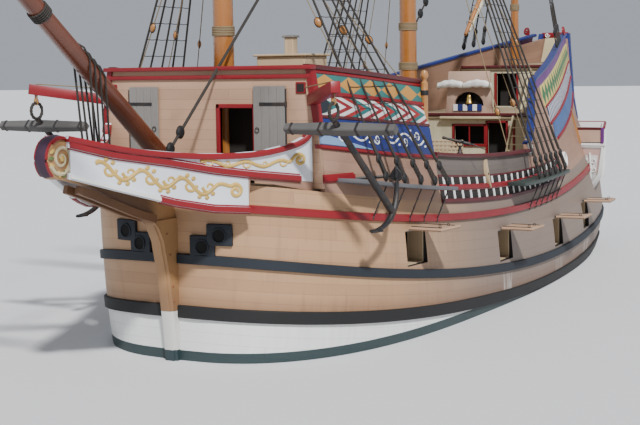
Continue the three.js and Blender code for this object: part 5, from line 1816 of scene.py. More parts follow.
@dataclass
class WaistWork:
    """The waist's rails, openings with white posts, chesstrees and swivel guns, and the deck's gear."""

    def build(self) -> None:
        """Build both sides and what stands on the deck."""
        for label, side in SIDES:
            self.bulwark(label, side)
            self.fittings(label, side)
            self.gun(label, side)
        self.deck_gear()

    @staticmethod
    def bulwark(label: str, side: float) -> None:
        """Lay rails, openings painted near-black as shade with posts, and the cap of one side."""
        face = side_surface(side)
        piece = Piece(f"waist_rails_{label}", "red_paint")
        start, end = FORECASTLE_BACK, 4.3
        for low, high in ((0.05, 0.24), (0.39, 0.55)):
            # Painted shade: the openings are near-black strips on the wall, standing in for the shade behind
            # them.
            piece.rail(face, start, end, hull_edge, (low, high), 0.006, SHADE_DARK, count=50)
            for y in steps(start + 0.25, end - 0.2, 19):
                if abs(y - CHESSTREE_Y) >= 0.2:
                    piece.rail(face, y - 0.035, y + 0.035, hull_edge, (low - 0.01, high + 0.01), 0.03, WHITE,
                               count=1)
        for low, high, proud, finish, edge in ((0.24, 0.39, 0.06, CRIMSON, Edge.MOULDED),
                                               (-0.07, 0.05, 0.055, DARK_RED, Edge.MOULDED),
                                               (0.55, 0.61, 0.03, DARK_RED, Edge.ROUND)):
            piece.rail(face, start, end, hull_edge, (low, high), proud, finish, edge, 50)
        path = [Vector((side * (LINES.half(y, waist_cap(y)) - 0.04), y, waist_cap(y)))
                for y in steps(start, QUARTER_START, 36)]
        piece.sweep(path, [(-0.12, -0.05), (0.12, -0.05), (0.14, -0.01), (0.12, 0.045), (-0.12, 0.045),
                           (-0.14, -0.01)], DARK_RED)
        piece.done()

    @staticmethod
    def fittings(label: str, side: float) -> None:
        """Add the carved ends of the rails and the chesstree with its hole, a near-black disc of painted shade.
        """
        face = side_surface(side)
        piece = Piece(f"waist_fittings_{label}", "block_wood")
        for y, z, size in ((1.12, waist_cap(QUARTER_START) + 0.06, 0.17), (4.95, 3.36, 0.26)):
            piece.curl(face, (y, z), size, 1.25, 250.0, 0.09, 0.09, WHITE, 0.25, taper=0.4)
        arc = []
        for t in steps(-1.0, 1.0, 14):
            y, z = CHESSTREE_Y - 0.07 * (1 - t * t), 3.42 + t * 0.36
            wide = 0.02 + 0.11 * math.cos(t * math.pi / 2)
            arc.append([face(y + a * wide, z, out)
                        for a, out in ((-0.5, 0.0), (-0.5, 0.085), (0.5, 0.085), (0.5, 0.0))])
        piece.loft(arc, PALE_WOOD)
        hole = turned(LINES.normal(side, CHESSTREE_Y, 3.42), face(CHESSTREE_Y - 0.06, 3.42, 0.086))
        # Painted shade: the sheave hole is a near-black disc.
        piece.turning([(0.035, 0.0), (0.0, 0.002)], hole, SHADE_DARK, 12)
        piece.done()

    @staticmethod
    def gun(label: str, side: float) -> None:
        """Put a swivel gun on its stock on the waist's cap."""
        piece = Piece(f"swivel_gun_{label}", "iron")
        y = -3.7
        z = waist_cap(y)
        foot = Vector((side * (LINES.half(y, z) - 0.05), y, z))
        piece.turning([(0.07, 0.0), (0.085, 0.05), (0.05, 0.09), (0.035, 0.2), (0.05, 0.24), (0.0, 0.25)],
                      Matrix.Translation(foot), IRON, 12)
        middle = foot + UP * 0.34
        for s in (-1.0, 1.0):
            fork = ((0.0, 0.2), (0.07, 0.24), (0.085, 0.35))
            piece.tube([foot + Vector((s * x, 0.0, up)) for x, up in fork], 0.014, IRON, 8)
        aim = Vector((side * -0.75, -0.45, 0.22)).normalized()
        barrel = [(0.0, -0.5), (0.028, -0.49), (0.03, -0.44), (0.015, -0.41), (0.05, -0.38), (0.066, -0.34),
                  (0.066, -0.3), (0.058, -0.28), (0.056, -0.02), (0.062, 0.0), (0.062, 0.03), (0.05, 0.06),
                  (0.04, 0.5), (0.052, 0.54), (0.054, 0.6), (0.03, 0.62), (0.024, 0.6), (0.02, 0.45), (0.0, 0.45)]
        matrix = turned(aim, middle) @ Matrix.Scale(0.72, 4)
        piece.turning(barrel, matrix, IRON, 18)
        piece.tube([middle - ABEAM * 0.1, middle + ABEAM * 0.1], 0.02, IRON, 8)
        tail = matrix @ Vector((0.0, 0.0, -0.48))
        piece.tube([tail, tail - aim * 0.3 - UP * 0.05], 0.013, IRON, 8)
        piece.done()

    def deck_gear(self) -> None:
        """Put hatch gratings, a leaning grating, ladders, bitts and a capstan on the main deck."""
        piece = Piece("waist_deck_gear", "block_wood")
        for y in (-3.2, -0.9):
            z = deck_top(y) + 0.005
            piece.box((-0.9, y - 0.85, z), (0.9, y + 0.85, z + 0.16), GREY_WOOD, 0.015)
            for a, b in zip(steps(-0.78, 0.78, 10), steps(-0.74, 0.74, 10)):
                piece.box((a - 0.025, y - 0.74, z + 0.16), (a + 0.025, y + 0.74, z + 0.19), PALE_WOOD, 0.004)
                piece.box((-0.8, y + b - 0.02, z + 0.15), (0.8, y + b + 0.02, z + 0.18), PALE_WOOD, 0.004)
        lean = Matrix.Translation((2.15, -2.0, deck_top(-2.0))) @ Matrix.Rotation(math.radians(-5), 4, "X")
        for i, (a, b) in enumerate(zip(steps(-0.42, 0.42, 7), steps(0.62, 1.38, 7))):
            foot = 0.0 if i in (0, 7) else 0.6
            piece.box((a - 0.03, -0.015, foot), (a + 0.03, 0.015, 1.4), PALE_WOOD, 0.004, lean)
            piece.box((-0.45, -0.03, b - 0.025), (0.45, 0.0, b + 0.025), PALE_WOOD, 0.004, lean)
        for x in (-1.2, 1.2):
            piece.turning([(0.12, 0.0), (0.12, 0.7), (0.15, 0.74), (0.13, 0.86), (0.0, 0.88)],
                          Matrix.Translation((x, -5.0, deck_top(-5.0))), ORANGE_WOOD)
        for ladder in LADDERS:
            self.ladder(piece, *ladder)
        capstan = Matrix.Translation((0.0, 2.2, deck_top(2.2)))
        piece.turning([(0.34, 0.0), (0.34, 0.1), (0.22, 0.14), (0.2, 0.6), (0.3, 0.66), (0.3, 0.84), (0.0, 0.86)],
                      capstan, ORANGE_WOOD, 20)
        piece.done()

    @staticmethod
    def ladder(piece: Piece, x: float, y0: float, y1: float, z0: float, z1: float) -> None:
        """Set a ladder at x that climbs from (y0, z0) to (y1, z1)."""
        for s in (-0.28, 0.28):
            piece.sweep([Vector((x + s, y0, z0)), Vector((x + s, y1, z1))], bar(0.025, 0.07), CREAM)
        count = int((z1 - z0) / 0.24)
        for i in range(1, count + 1):
            t = (i - 0.3) / count
            y, z = lerp(y0, y1, t), lerp(z0, z1, t)
            piece.box((x - 0.27, y - 0.08, z - 0.015), (x + 0.27, y + 0.08, z + 0.015), CREAM, 0.004)


@dataclass
class HalfDeckWork:
    """The cream bulkhead of the half deck, its frames, canvas roll, belfry and bell."""

    def build(self) -> None:
        """Build the bulkheads' trim, the belfry and the bell."""
        for node in ("half_deck_bulkhead", "poop_bulkhead"):
            Dress(node, "cream_paint", CREAM_PLANKS, 0.006, UP).build()
        Dress("belfry", "lid_wood", PINK_WOOD, 0.015, UP).build()
        Dress("transom", "hull_planks", TAN, 0.01, ABEAM).build()
        piece = Piece("half_deck_trim", "red_paint")
        y, poop_y, poop_z = HALF_DECK_Y, 7.5, 6.06
        half, poop_half = LINES.half(y, 4.6) - 0.15, LINES.half(poop_y, poop_z) - 0.17
        for low, high in (((-0.48, 3.78), (0.52, 4.33)), ((0.64, 2.95), (1.24, 4.43))):
            piece.surround(low, high, 0.07, y - 0.03, y + 0.06, 0.01)
        piece.box((-0.57, y - 0.05, 3.7), (0.61, y + 0.06, 3.78), CRIMSON, 0.012)
        # Painted shade: a near-black board behind the door and the window stands in for the dark inside.
        piece.box((-0.6, y + 0.5, 2.9), (1.4, y + 0.52, 4.5), SHADE_DARK, 0.0)
        piece.box((0.0, y, 3.78), (0.04, y + 0.03, 4.33), CRIMSON, 0.004)
        piece.box((-half, y - 0.1, 4.64), (half, y + 0.1, 4.73), DARK_RED, 0.02)
        for side in (-1.0, 1.0):
            for x in (1.5, 2.0, 2.5):
                piece.box((side * x - 0.04, y - 0.025, 2.95), (side * x + 0.04, y + 0.01, 4.55), CRIMSON, 0.01)
        piece.box((-poop_half, poop_y - 0.1, poop_z + 0.04), (poop_half, poop_y + 0.1, poop_z + 0.13), DARK_RED,
                  0.02)
        for x in (-0.42, 0.35):
            piece.box((x, 7.46, 4.85), (x + 0.07, 7.55, 5.95), CRIMSON, 0.01)
        # Painted shade: a near-black board behind the poop's door stands in for the dark inside.
        piece.box((-0.4, 7.95, 4.8), (0.4, 7.97, 5.95), SHADE_DARK, 0.0)
        piece.box((-0.9, y - 0.2, 4.56), (1.1, y - 0.005, 4.63), CREAM, 0.01)
        for i, x in enumerate(steps(-0.5, 0.31, 5)):
            piece.box((x, y - 0.045, 4.8), (x + 0.14, y - 0.005, 5.0), BLUE if i % 2 else WHITE, 0.006)
        # Painted shade: a near-black board behind the belfry's arch stands in for the shadow inside it.
        piece.box((-0.55, y + 0.14, 4.7), (0.55, y + 0.155, 5.5), SHADE_BLACK, 0.0)
        piece.done()
        self.canvas_roll()
        self.bell()

    @staticmethod
    def canvas_roll() -> None:
        """Furl a white canvas awning across the belfry in two humps, with ties."""
        piece = Piece("awning_roll", "canvas")
        rings = []
        for x in steps(-0.98, 0.8, 48):
            hump = abs(math.sin((x + 0.98) / 0.89 * math.pi))
            swell = 0.075 + 0.03 * hump + 0.008 * math.sin(x * 23.0)
            rings.append([Vector((x, 4.26 + swell * math.cos(t) * (1.0 + 0.06 * math.sin(5 * t + x * 3)),
                                  5.58 + 0.06 * hump + swell * math.sin(t) * 1.15)) for t in round_angles(18)])
        piece.loft(rings, WHITE_CLOTH)
        for x in (-0.96, -0.09, 0.78):
            piece.hoop(Vector((x, 4.26, 5.58)), AFT * 0.09, UP * 0.1, 0.014, PALE_ROPE)
            piece.tube([Vector((x, 4.3, 5.6)), Vector((x, 4.41, 5.62))], 0.012, PALE_ROPE)
        piece.done()

    @staticmethod
    def bell() -> None:
        """Hang the brass bell in the belfry's arch."""
        piece = Piece("ship_bell", "brass")
        low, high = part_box("belfry")
        at = Matrix.Translation((0.0, (low.y + high.y) / 2, low.z + 0.38))
        outer = [(0.0, 0.3), (0.04, 0.3), (0.07, 0.27), (0.085, 0.2), (0.1, 0.1), (0.13, 0.03), (0.155, 0.0),
                 (0.14, -0.005), (0.12, 0.02), (0.09, 0.1), (0.07, 0.2), (0.0, 0.26)]
        piece.turning(outer, at, BRASS, 24)
        piece.turning([(0.0, -0.03), (0.03, -0.02), (0.03, 0.02), (0.01, 0.04), (0.008, 0.25), (0.0, 0.26)], at,
                      IRON, 10)
        piece.tube([at @ Vector((0.0, 0.0, 0.29)), at @ Vector((0.0, 0.0, 0.39))], 0.02, IRON, 8)
        piece.done()


@dataclass
class QuarterWork:
    """The raised quarter: striped and painted bands, the gallery and the carved brackets."""

    def build(self) -> None:
        """Lay the bands and finish the gallery."""
        layers = (
            Layer(0.03, 0.3, 0.012, PURPLE, start=2.8), Layer(0.3, 0.92, 0.014, GREEN_TRIANGLES, start=3.6),
            Layer(0.9, 0.98, 0.045, CRIMSON, Edge.ROUND, 3.8), Layer(0.98, 1.42, 0.014, STRIPES, start=3.9),
            Layer(1.42, 1.5, 0.05, CRIMSON, Edge.MOULDED, 3.9), Layer(1.5, 1.98, 0.018, MID_BLUE, start=4.2),
            Layer(1.98, 2.07, 0.05, CRIMSON, Edge.MOULDED, 4.5),
        )
        SideBands("quarter_bands", "upper_works", 1.1, 11.4, quarter_cap, layers, BLUE, 0.09).build()
        corner = ((-0.09, 0.03), (0.05, 0.03), (0.07, 0.0), (0.07, -0.14), (-0.09, -0.14))
        for label, side in SIDES:
            face = side_surface(side)
            piece = Piece(f"quarter_ornament_{label}", "carving")
            piece.strip(face, 8.27, 8.43, level(3.6), level(4.75), 0.05, ORANGE_WOOD, count=2)
            rings = []
            for z in steps(4.3, 7.3, 8):
                x, y = side * LINES.half(LINES.stern(z), z), LINES.stern(z)
                rings.append([Vector((x + side * a, y + b, z)) for a, b in corner])
            piece.loft(rings, BLUE)
            piece.curl(face, (11.0, quarter_cap(11.1) + 0.16), 0.2, 1.4, 270.0, 0.07, 0.06, CRIMSON)
            piece.done()
        self.gallery()

    def gallery(self) -> None:
        """Dress the gallery in white and lay mouldings, panels, ornaments and brackets on it."""
        Dress("stern_gallery", "white_paint", WHITE, 0.012).build()
        piece = Piece("gallery_trim", "carving")
        for _, side in SIDES:
            self.gallery_front(piece, side)
            flank = lambda t, z, out: gallery_face(side, t, z, out)
            self.mouldings(piece, flank, 0.0, 4)
            for t in steps(0.02, 0.98, 8):
                for low, high in ((2.6, 3.56), (3.64, 4.1)):
                    piece.strip(flank, t - 0.014, t + 0.014, level(low), level(high), 0.035, WHITE, count=1)
                if t < 0.9:
                    piece.strip(flank, t + 0.03, t + 0.09, level(2.7), level(3.46), 0.014, PALE_PINK, count=1)
        back = lambda a, z, out: Vector((a * gallery_row(z)[1], gallery_row(z)[3] + out, z))
        self.mouldings(piece, back, -1.0, 2)
        for a in (-0.6, 0.0, 0.6):
            # Painted shade: the windows' panes are near-black, standing in for the dark inside.
            for half, low, high, proud, finish in (
                    (0.2, 2.75, 3.42, 0.03, CRIMSON), (0.16, 2.81, 3.36, 0.034, SHADE_DARK),
                    (0.17, 2.98, 3.0, 0.04, WHITE), (0.17, 3.16, 3.18, 0.04, WHITE)):
                piece.strip(back, a - half, a + half, level(low), level(high), proud, finish, count=1)
        top = LINES.stern(7.25)
        piece.box((-0.5, top - 0.05, 7.15), (0.5, top + 0.05, 7.34), CRIMSON, 0.03, segments=2)
        rail = lambda x, z, out: Vector((x, top - 0.05 - out, z))
        for s in (-1.0, 1.0):
            piece.curl(rail, (s * 0.28, 7.25), 0.1, s * 1.2, 90.0 + s * 90.0, 0.04, 0.03, WHITE, parts=10)
        inside = [Vector((s * (LINES.half(LINES.stern(z), z) - 0.16), LINES.stern(z) - 0.02, z))
                  for s, z in ((-1.0, 6.3), (1.0, 6.3), (1.0, 7.15), (-1.0, 7.15))]
        piece.plate(inside, AFT * -0.012, CREAM, 0.0, ABEAM)
        piece.done()

    @staticmethod
    def gallery_front(piece: Piece, side: float) -> None:
        """Frame the gallery's front in white round a pink panel, with its ornament, top and bracket."""
        front = lambda x, z, out: Vector((side * x, gallery_row(z)[2] - 0.01 - out, z))
        frame_line = [(2.26, 1.98), (2.78, 2.6), (2.93, 3.5), (2.05, 3.5), (2.26, 1.98)]
        piece.relief(front, frame_line, 0.1, 0.05, WHITE, 1)
        panel = [front(x, z, 0.012) for x, z in ((2.32, 2.14), (2.74, 2.66), (2.85, 3.42), (2.13, 3.42))]
        piece.plate(panel, AFT * 0.02, PALE_PINK, 0.0, UP)
        piece.relief(front, [(2.5, 2.45), (2.52, 2.8), (2.5, 3.3)], 0.07, 0.03, WHITE, base=0.012)
        for z in (2.75, 3.05):
            for s in (-1.0, 1.0):
                piece.curl(front, (2.5 + s * 0.12, z), 0.11, s * 1.1, 90.0 + s * 90.0, 0.035, 0.025, WHITE, 0.25,
                           10, base=0.012)
        sill = [Vector((side * x, GALLERY_POST_Y, 3.6)) for x in (1.9, 3.03)]
        piece.sweep(sill, bar(0.04, 0.055), WHITE)
        bracket = [front(2.2 + 0.28 * t, 1.9 - 0.3 * math.sin(t * math.pi) - 0.1 * t, 0.0) + AFT * 0.3
                   for t in steps(0.0, 1.0, 8)]
        piece.tube(bracket, 0.06, WHITE, 8, lambda t: 1.0 - 0.5 * t)
        near, far = sorted((side * 2.97, side * 2.02))
        piece.box((near, 8.43, 3.62), (far, 8.475, 4.12), PINK_WOOD, 0.008)
        piece.box((near, 8.41, 4.06), (far, 8.48, 4.14), DARK_RED, 0.012)
        edge = side * 2.95
        piece.box((edge - 0.05, 8.4, 3.62), (edge + 0.05, 8.49, 4.12), PURPLE, 0.01)

    @staticmethod
    def mouldings(piece: Piece, surface: Place3, start: float, count: int) -> None:
        """Lay the gallery's four mouldings on one of its walls, from start to 1."""
        for z, finish in ((1.9, WHITE), (2.56, WHITE), (3.6, WHITE), (4.13, CRIMSON)):
            piece.rail(surface, start, 1.0, level(z), (-0.05, 0.05), 0.05, finish, Edge.MOULDED, count)


def gallery_row(z: float) -> tuple[float, ...]:
    """Return the gallery's half width at the front and at the back and the y of both, at a height."""
    for below, above in zip(GALLERY_ROWS, GALLERY_ROWS[1:]):
        if z <= above[0]:
            break
    t = min(max((z - below[0]) / (above[0] - below[0]), 0.0), 1.0)
    return tuple(lerp(a, b, t) for a, b in zip(below[1:], above[1:]))


def gallery_face(side: float, t: float, z: float, out: float) -> Vector:
    """Return a point on the gallery's flank, t from 0 at the front to 1 at the back."""
    wide, narrow, front, back = gallery_row(z)
    run = Vector((side * (narrow - wide), back - front, 0.0))
    away = Vector((side * run.y, -side * run.x, 0.0)).normalized() * out
    return Vector((side * wide, front, z)) + run * t + away


GALLERY_ROWS = ((1.85, 2.35, 1.75, 8.95, 11.5), (2.52, 2.88, 1.85, 8.62, 12.0), (3.56, 3.0, 1.7, 8.5, 12.5),
                (4.15, 2.98, 1.68, 8.48, 12.6))


@dataclass(frozen=True)
class Pole:
    """A mast: its place and its radii from foot to head."""

    y: float
    foot: float
    head: float
    low_r: float
    high_r: float

    def radius(self, z: float) -> float:
        """Return the radius at a height."""
        return lerp(self.low_r, self.high_r, max(0.0, min(1.0, (z - self.foot) / (self.head - self.foot))))

    def ring(self, piece: Piece, z: float, radius: float, thick: float, finish: Finish, parts: int) -> None:
        """Lay one level turn of rope of a given radius round the mast."""
        piece.hoop(Vector((0.0, self.y, z)), ABEAM * radius, AFT * radius, thick, finish, parts=parts)


RATLINE_STEP = 0.38
MASTS = {
    "fore": Pole(-9.06, 3.7, 14.6, 0.245, 0.19), "main": Pole(0.2, 2.8, 17.2, 0.26, 0.2),
    "mizzen": Pole(8.2, 4.7, 16.8, 0.15, 0.08), "fore_top": Pole(-9.49, 12.96, 22.4, 0.135, 0.06),
    "main_top": Pole(-0.23, 15.26, 26.8, 0.15, 0.06),
}


def bowsprit_z(y: float) -> float:
    """Return the height of the bowsprit's axis."""
    return 4.83 + (-12.07 - y) * 0.798


@dataclass
class MastWork:
    """Masts, tops and bowsprit, with their bindings, trucks and gammoning."""

    def build(self) -> None:
        """Dress the solid nodes and bind them."""
        for node in ("foremast", "mainmast", "mizzenmast", "fore_topmast", "main_topmast"):
            Dress(node, "mast_wood", AMBER, 0.004, UP, sharp=42.0).build()
        Dress("bowsprit", "bowsprit_wood", SPAR_RED, 0.004, UP, sharp=42.0).build()
        for node in ("fore_top", "main_top"):
            Dress(node, "mast_wood", ORANGE_WOOD, 0.01, UP, sharp=40.0).build()
        piece = Piece("mast_bindings", "rope")
        for key, heights in (("fore", (6.9, 7.9, 8.9, 9.9)), ("main", (5.0, 6.1, 7.2, 8.3, 9.4, 10.5, 11.6)),
                             ("mizzen", (8.0, 9.0))):
            for z in heights:
                for k in range(6):
                    MASTS[key].ring(piece, z + k * 0.036, MASTS[key].radius(z) + 0.012, 0.018, HEMP, 22)
        for key in ("fore_top", "main_top", "mizzen"):
            at = Matrix.Translation((0.0, MASTS[key].y, MASTS[key].head))
            piece.turning([(0.03, -0.06), (0.09, -0.055), (0.11, -0.03), (0.09, -0.008), (0.02, -0.002)], at,
                          CRIMSON, 14)
        for y in (-13.6, -13.75, -13.9, -14.05):
            self.gammoning(piece, y)
        for y in (-15.0, -19.4, -22.4):
            r = lerp(0.22, 0.11, (-10.3 - y) / 12.9) + 0.012
            matrix = turned(Vector((0.0, -1.0, 0.798)), Vector((0.0, y, bowsprit_z(y))))
            turn = matrix.to_3x3()
            for k in range(5):
                centre = matrix @ Vector((0.0, 0.0, k * 0.045))
                piece.hoop(centre, turn @ ABEAM * r, turn @ AFT * r, 0.022, TARRED, parts=18)
        piece.done(50.0)

    @staticmethod
    def gammoning(piece: Piece, y: float) -> None:
        """Lash the bowsprit to the knee of the head with one turn of rope."""
        top = bowsprit_z(y) + 0.28
        low = 4.2 - (y + 13.9) * -0.35
        line = ((0.0, y - 0.05, top), (0.17, y, top - 0.1), (0.2, y + 0.12, top - 0.3),
                (0.13, y + 0.3, low + 0.1), (0.1, y + 0.32, low - 0.05))
        for side in (-1.0, 1.0):
            piece.tube([Vector((px * side, py, pz)) for px, py, pz in line], 0.022, TARRED)


@dataclass
class Rigger:
    """Makes ropes, deadeyes and blocks on a piece."""

    piece: Piece

    def rope(self, start: Vector, end: Vector, radius: float, finish: Finish = TARRED, parts: int = 1) -> None:
        """Lead a taut rope between two points."""
        self.piece.tube([start.lerp(end, t) for t in steps(0.0, 1.0, parts)], radius, finish)

    def deadeye(self, at: Vector, run: Vector, outward: Vector, radius: float = 0.1) -> None:
        """Set a round deadeye with its strop."""
        matrix = turned(outward, at, run)
        outline = ((0.5, -1.0), (0.85, -0.8), (1.0, -0.3), (1.0, 0.3), (0.85, 0.8), (0.5, 1.0), (0.0, 1.0))
        self.piece.turning([(radius * r, radius * 0.42 * z) for r, z in outline], matrix, BLACK)
        turn = matrix.to_3x3() * (radius * 1.06)
        self.piece.hoop(at, turn @ ABEAM, turn @ AFT, radius * 0.14, TARRED, 5)

    def pair(self, low: Vector, high: Vector, outward: Vector, radius: float = 0.1) -> Vector:
        """Set two deadeyes with a lanyard between them, and return where the shroud starts."""
        run = (high - low).normalized()
        upper = low + run * (radius * 4.2)
        for at in (low, upper):
            self.deadeye(at, run, outward, radius)
        across = run.cross(outward).normalized()
        for k in (-0.5, 0.0, 0.5):
            for face in (-1.0, 1.0):
                shift = across * (k * radius * 1.05) + outward * (face * radius * 0.28)
                self.piece.tube([low + run * radius * 0.3 + shift, upper - run * radius * 0.3 + shift],
                                radius * 0.11, TARRED, 5)
        return upper + run * radius

    def block(self, at: Vector, run: Vector, size: float = 0.1) -> None:
        """Set an egg-shaped block with its strop."""
        turn = turned(run, at).to_3x3()
        self.piece.ball(at, size, ORANGE_WOOD, (0.55, 0.8, 1.15), 12, turn.to_4x4())
        self.piece.hoop(at, turn @ AFT * (size * 0.84), turn @ UP * (size * 1.2), size * 0.13, TARRED, 5)


@dataclass(frozen=True)
class Gang:
    """The shrouds of one mast on each side, with their chains and ratlines."""

    mast: str
    feet: tuple[float, ...]
    out: float
    step: Height
    hounds: float
    chains: bool = True
    thick: float = 0.026

    def build(self) -> None:
        """Rig both sides."""
        pole = MASTS[self.mast]
        for label, side in SIDES:
            piece = Piece(f"{self.mast}_shrouds_{label}", "rope")
            rigger = Rigger(piece)
            outward = Vector((side, 0.12, 0.0)).normalized()
            lines = []
            for i, y in enumerate(self.feet):
                z = self.step(y)
                foot = Vector((side * (LINES.half(y, z) + self.out), y, z + 0.12))
                head = Vector((side * (pole.radius(self.hounds) + 0.02), pole.y + 0.04 + 0.02 * i,
                               self.hounds + 0.035 * i))
                start = rigger.pair(foot, head, outward)
                rigger.rope(start, head, self.thick)
                piece.tube([start, start + (head - start).normalized() * 0.7], self.thick * 1.5, TARRED)
                lines.append((start, head))
                if self.chains:
                    self.chain(piece, side, y, foot)
            self.tie_ratlines(piece, lines)
            piece.done(50.0)

    @staticmethod
    def chain(piece: Piece, side: float, y: float, foot: Vector) -> None:
        """Lead the iron chain plate from under the channel to the hull."""
        low_z = foot.z - 0.92
        low = LINES.on_side(side, y + 0.02, low_z, 0.045)
        edge = Vector((foot.x, foot.y, foot.z - 0.22))
        piece.tube([foot - UP * 0.1, edge, edge.lerp(low, 0.5), low], 0.016, IRON, 6)
        piece.ball(low, 0.04, IRON, (1.0, 1.0, 1.3), 8)
        for t in (0.3, 0.6):
            piece.ball(edge.lerp(low, t), 0.03, IRON, (0.6, 1.0, 1.5), 8)

    @staticmethod
    def tie_ratlines(piece: Piece, lines: list[tuple[Vector, Vector]]) -> None:
        """Tie level ropes across the shrouds."""
        low = max(start.z for start, _ in lines) + 0.3
        high = min(head.z for _, head in lines) - 0.9
        for k in range(int((high - low) / RATLINE_STEP) + 1):
            z = low + k * RATLINE_STEP
            row = [start.lerp(head, (z - start.z) / (head.z - start.z)) for start, head in lines]
            for a, b in zip(row, row[1:]):
                piece.tube([a, a.lerp(b, 0.5) - UP * 0.012, b], 0.009, TARRED, 4)
            for knot in row:
                piece.ball(knot, 0.028, TARRED, (1.0, 1.0, 0.8), 5)


@dataclass
class StandingRigging:
    """Shrouds, topmast shrouds and stays, and the channels that spread the shrouds."""

    def build(self) -> None:
        """Rig the whole ship."""
        for label, _ in SIDES:
            for name, finish in (("fore_channel", CHANNEL_GREY), ("main_channel", CHANNEL_GREEN)):
                Dress(f"{name}_{label}", frame_slot(f"{name}_{label}"), finish, 0.012).build()
        top = lambda y: channel_z(y) + 0.09
        Gang("fore", (-8.45, -7.75, -7.05, -6.4, -5.75), 0.47, top, 12.1).build()
        Gang("main", (0.3, 0.85, 1.4, 1.95, 2.5, 3.05), 0.47, top, 14.2).build()
        Gang("mizzen", (7.75, 8.25, 8.75), 0.1, lambda y: quarter_cap(y) + 0.12, 14.35, chains=False,
             thick=0.018).build()
        self.stay_looks()
        self.topmast()

    @staticmethod
    def stay_looks() -> None:
        """Remake the three main stays as laid ropes with mouse knots and deadeyes."""
        piece = Piece("main_stays_looks", "rope", SHIP, ("fore_stay", "main_stay", "mizzen_stay"))
        rigger = Rigger(piece)
        for node, head, foot, r in (("fore_stay", (0.0, -9.06, 12.45), (0.0, -16.2, 8.126), 0.034),
                                    ("main_stay", (0.0, 0.2, 14.9), (0.494, -12.735, 3.7), 0.034),
                                    ("mizzen_stay", (0.0, 8.2, 14.6), (0.0, 0.2, 6.9), 0.027)):
            low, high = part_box(node)
            head, run = Vector(head), Vector(foot) - Vector(head)
            upper, lower = (head + run * ((y - head.y) / run.y) for y in (high.y, low.y))
            run.normalize()
            rigger.rope(upper, lower, r, parts=24)
            piece.ball(upper + run * 1.2, 0.09, TARRED, (0.8, 0.8, 1.6), 10, turned(run, Vector()))
            for back in (1.3, 0.8):
                rigger.deadeye(lower - run * back, run, ABEAM, 0.12)
        piece.done(50.0)

    @staticmethod
    def topmast() -> None:
        """Rig the topmasts: shrouds from the tops' rims, futtocks and stays."""
        piece = Piece("topmast_rigging", "rope")
        rigger = Rigger(piece)
        for key, rim, rim_r, hounds, low_key in (("fore_top", 13.72, 1.06, 19.2, "fore"),
                                                 ("main_top", 16.12, 1.18, 22.2, "main")):
            pole, low_pole = MASTS[key], MASTS[low_key]
            for _, side in SIDES:
                lines = []
                futtock = Vector((side * (low_pole.radius(rim - 2.2) + 0.03), low_pole.y + 0.05, rim - 2.35))
                head = Vector((side * (pole.radius(hounds) + 0.01), pole.y + 0.03, hounds))
                for angle in (8.0, 30.0, 52.0):
                    away = Vector((side * math.cos(math.radians(angle)), math.sin(math.radians(angle)), 0.0))
                    centre = Vector((0.0, low_pole.y, rim))
                    foot = centre + away * rim_r + UP * 0.1
                    start = rigger.pair(foot, head, away, 0.06)
                    rigger.rope(start, head, 0.014)
                    lines.append((start, head))
                    rim_low = centre + away * (rim_r + 0.02)
                    piece.tube([rim_low, foot], 0.012, IRON, 5)
                    if key == "main_top":
                        rigger.rope(rim_low, futtock, 0.014)
                Gang.tie_ratlines(piece, lines)
        rigger.rope(Vector((0.0, -9.62, 19.6)), Vector((0.0, -21.6, bowsprit_z(-21.6) + 0.12)), 0.018, parts=4)
        rigger.rope(Vector((0.0, -0.38, 22.6)), Vector((0.0, -8.84, 14.3)), 0.018, parts=4)
        for y in (-16.0, -16.9):
            rigger.block(Vector((0.0, y, bowsprit_z(y) + 0.34)), UP)
        piece.done(50.0)


def gasket_distance(x: float, step: float) -> float:
    """Return how far a place along a yard is from the nearest of its evenly spaced gaskets."""
    return abs((x / step - round(x / step)) * step)


def tied(near: float) -> float:
    """Return the share of a furled sail's size that is left at a distance from a gasket."""
    return 1.0 - 0.22 * max(0.0, 1.0 - near / 0.1)


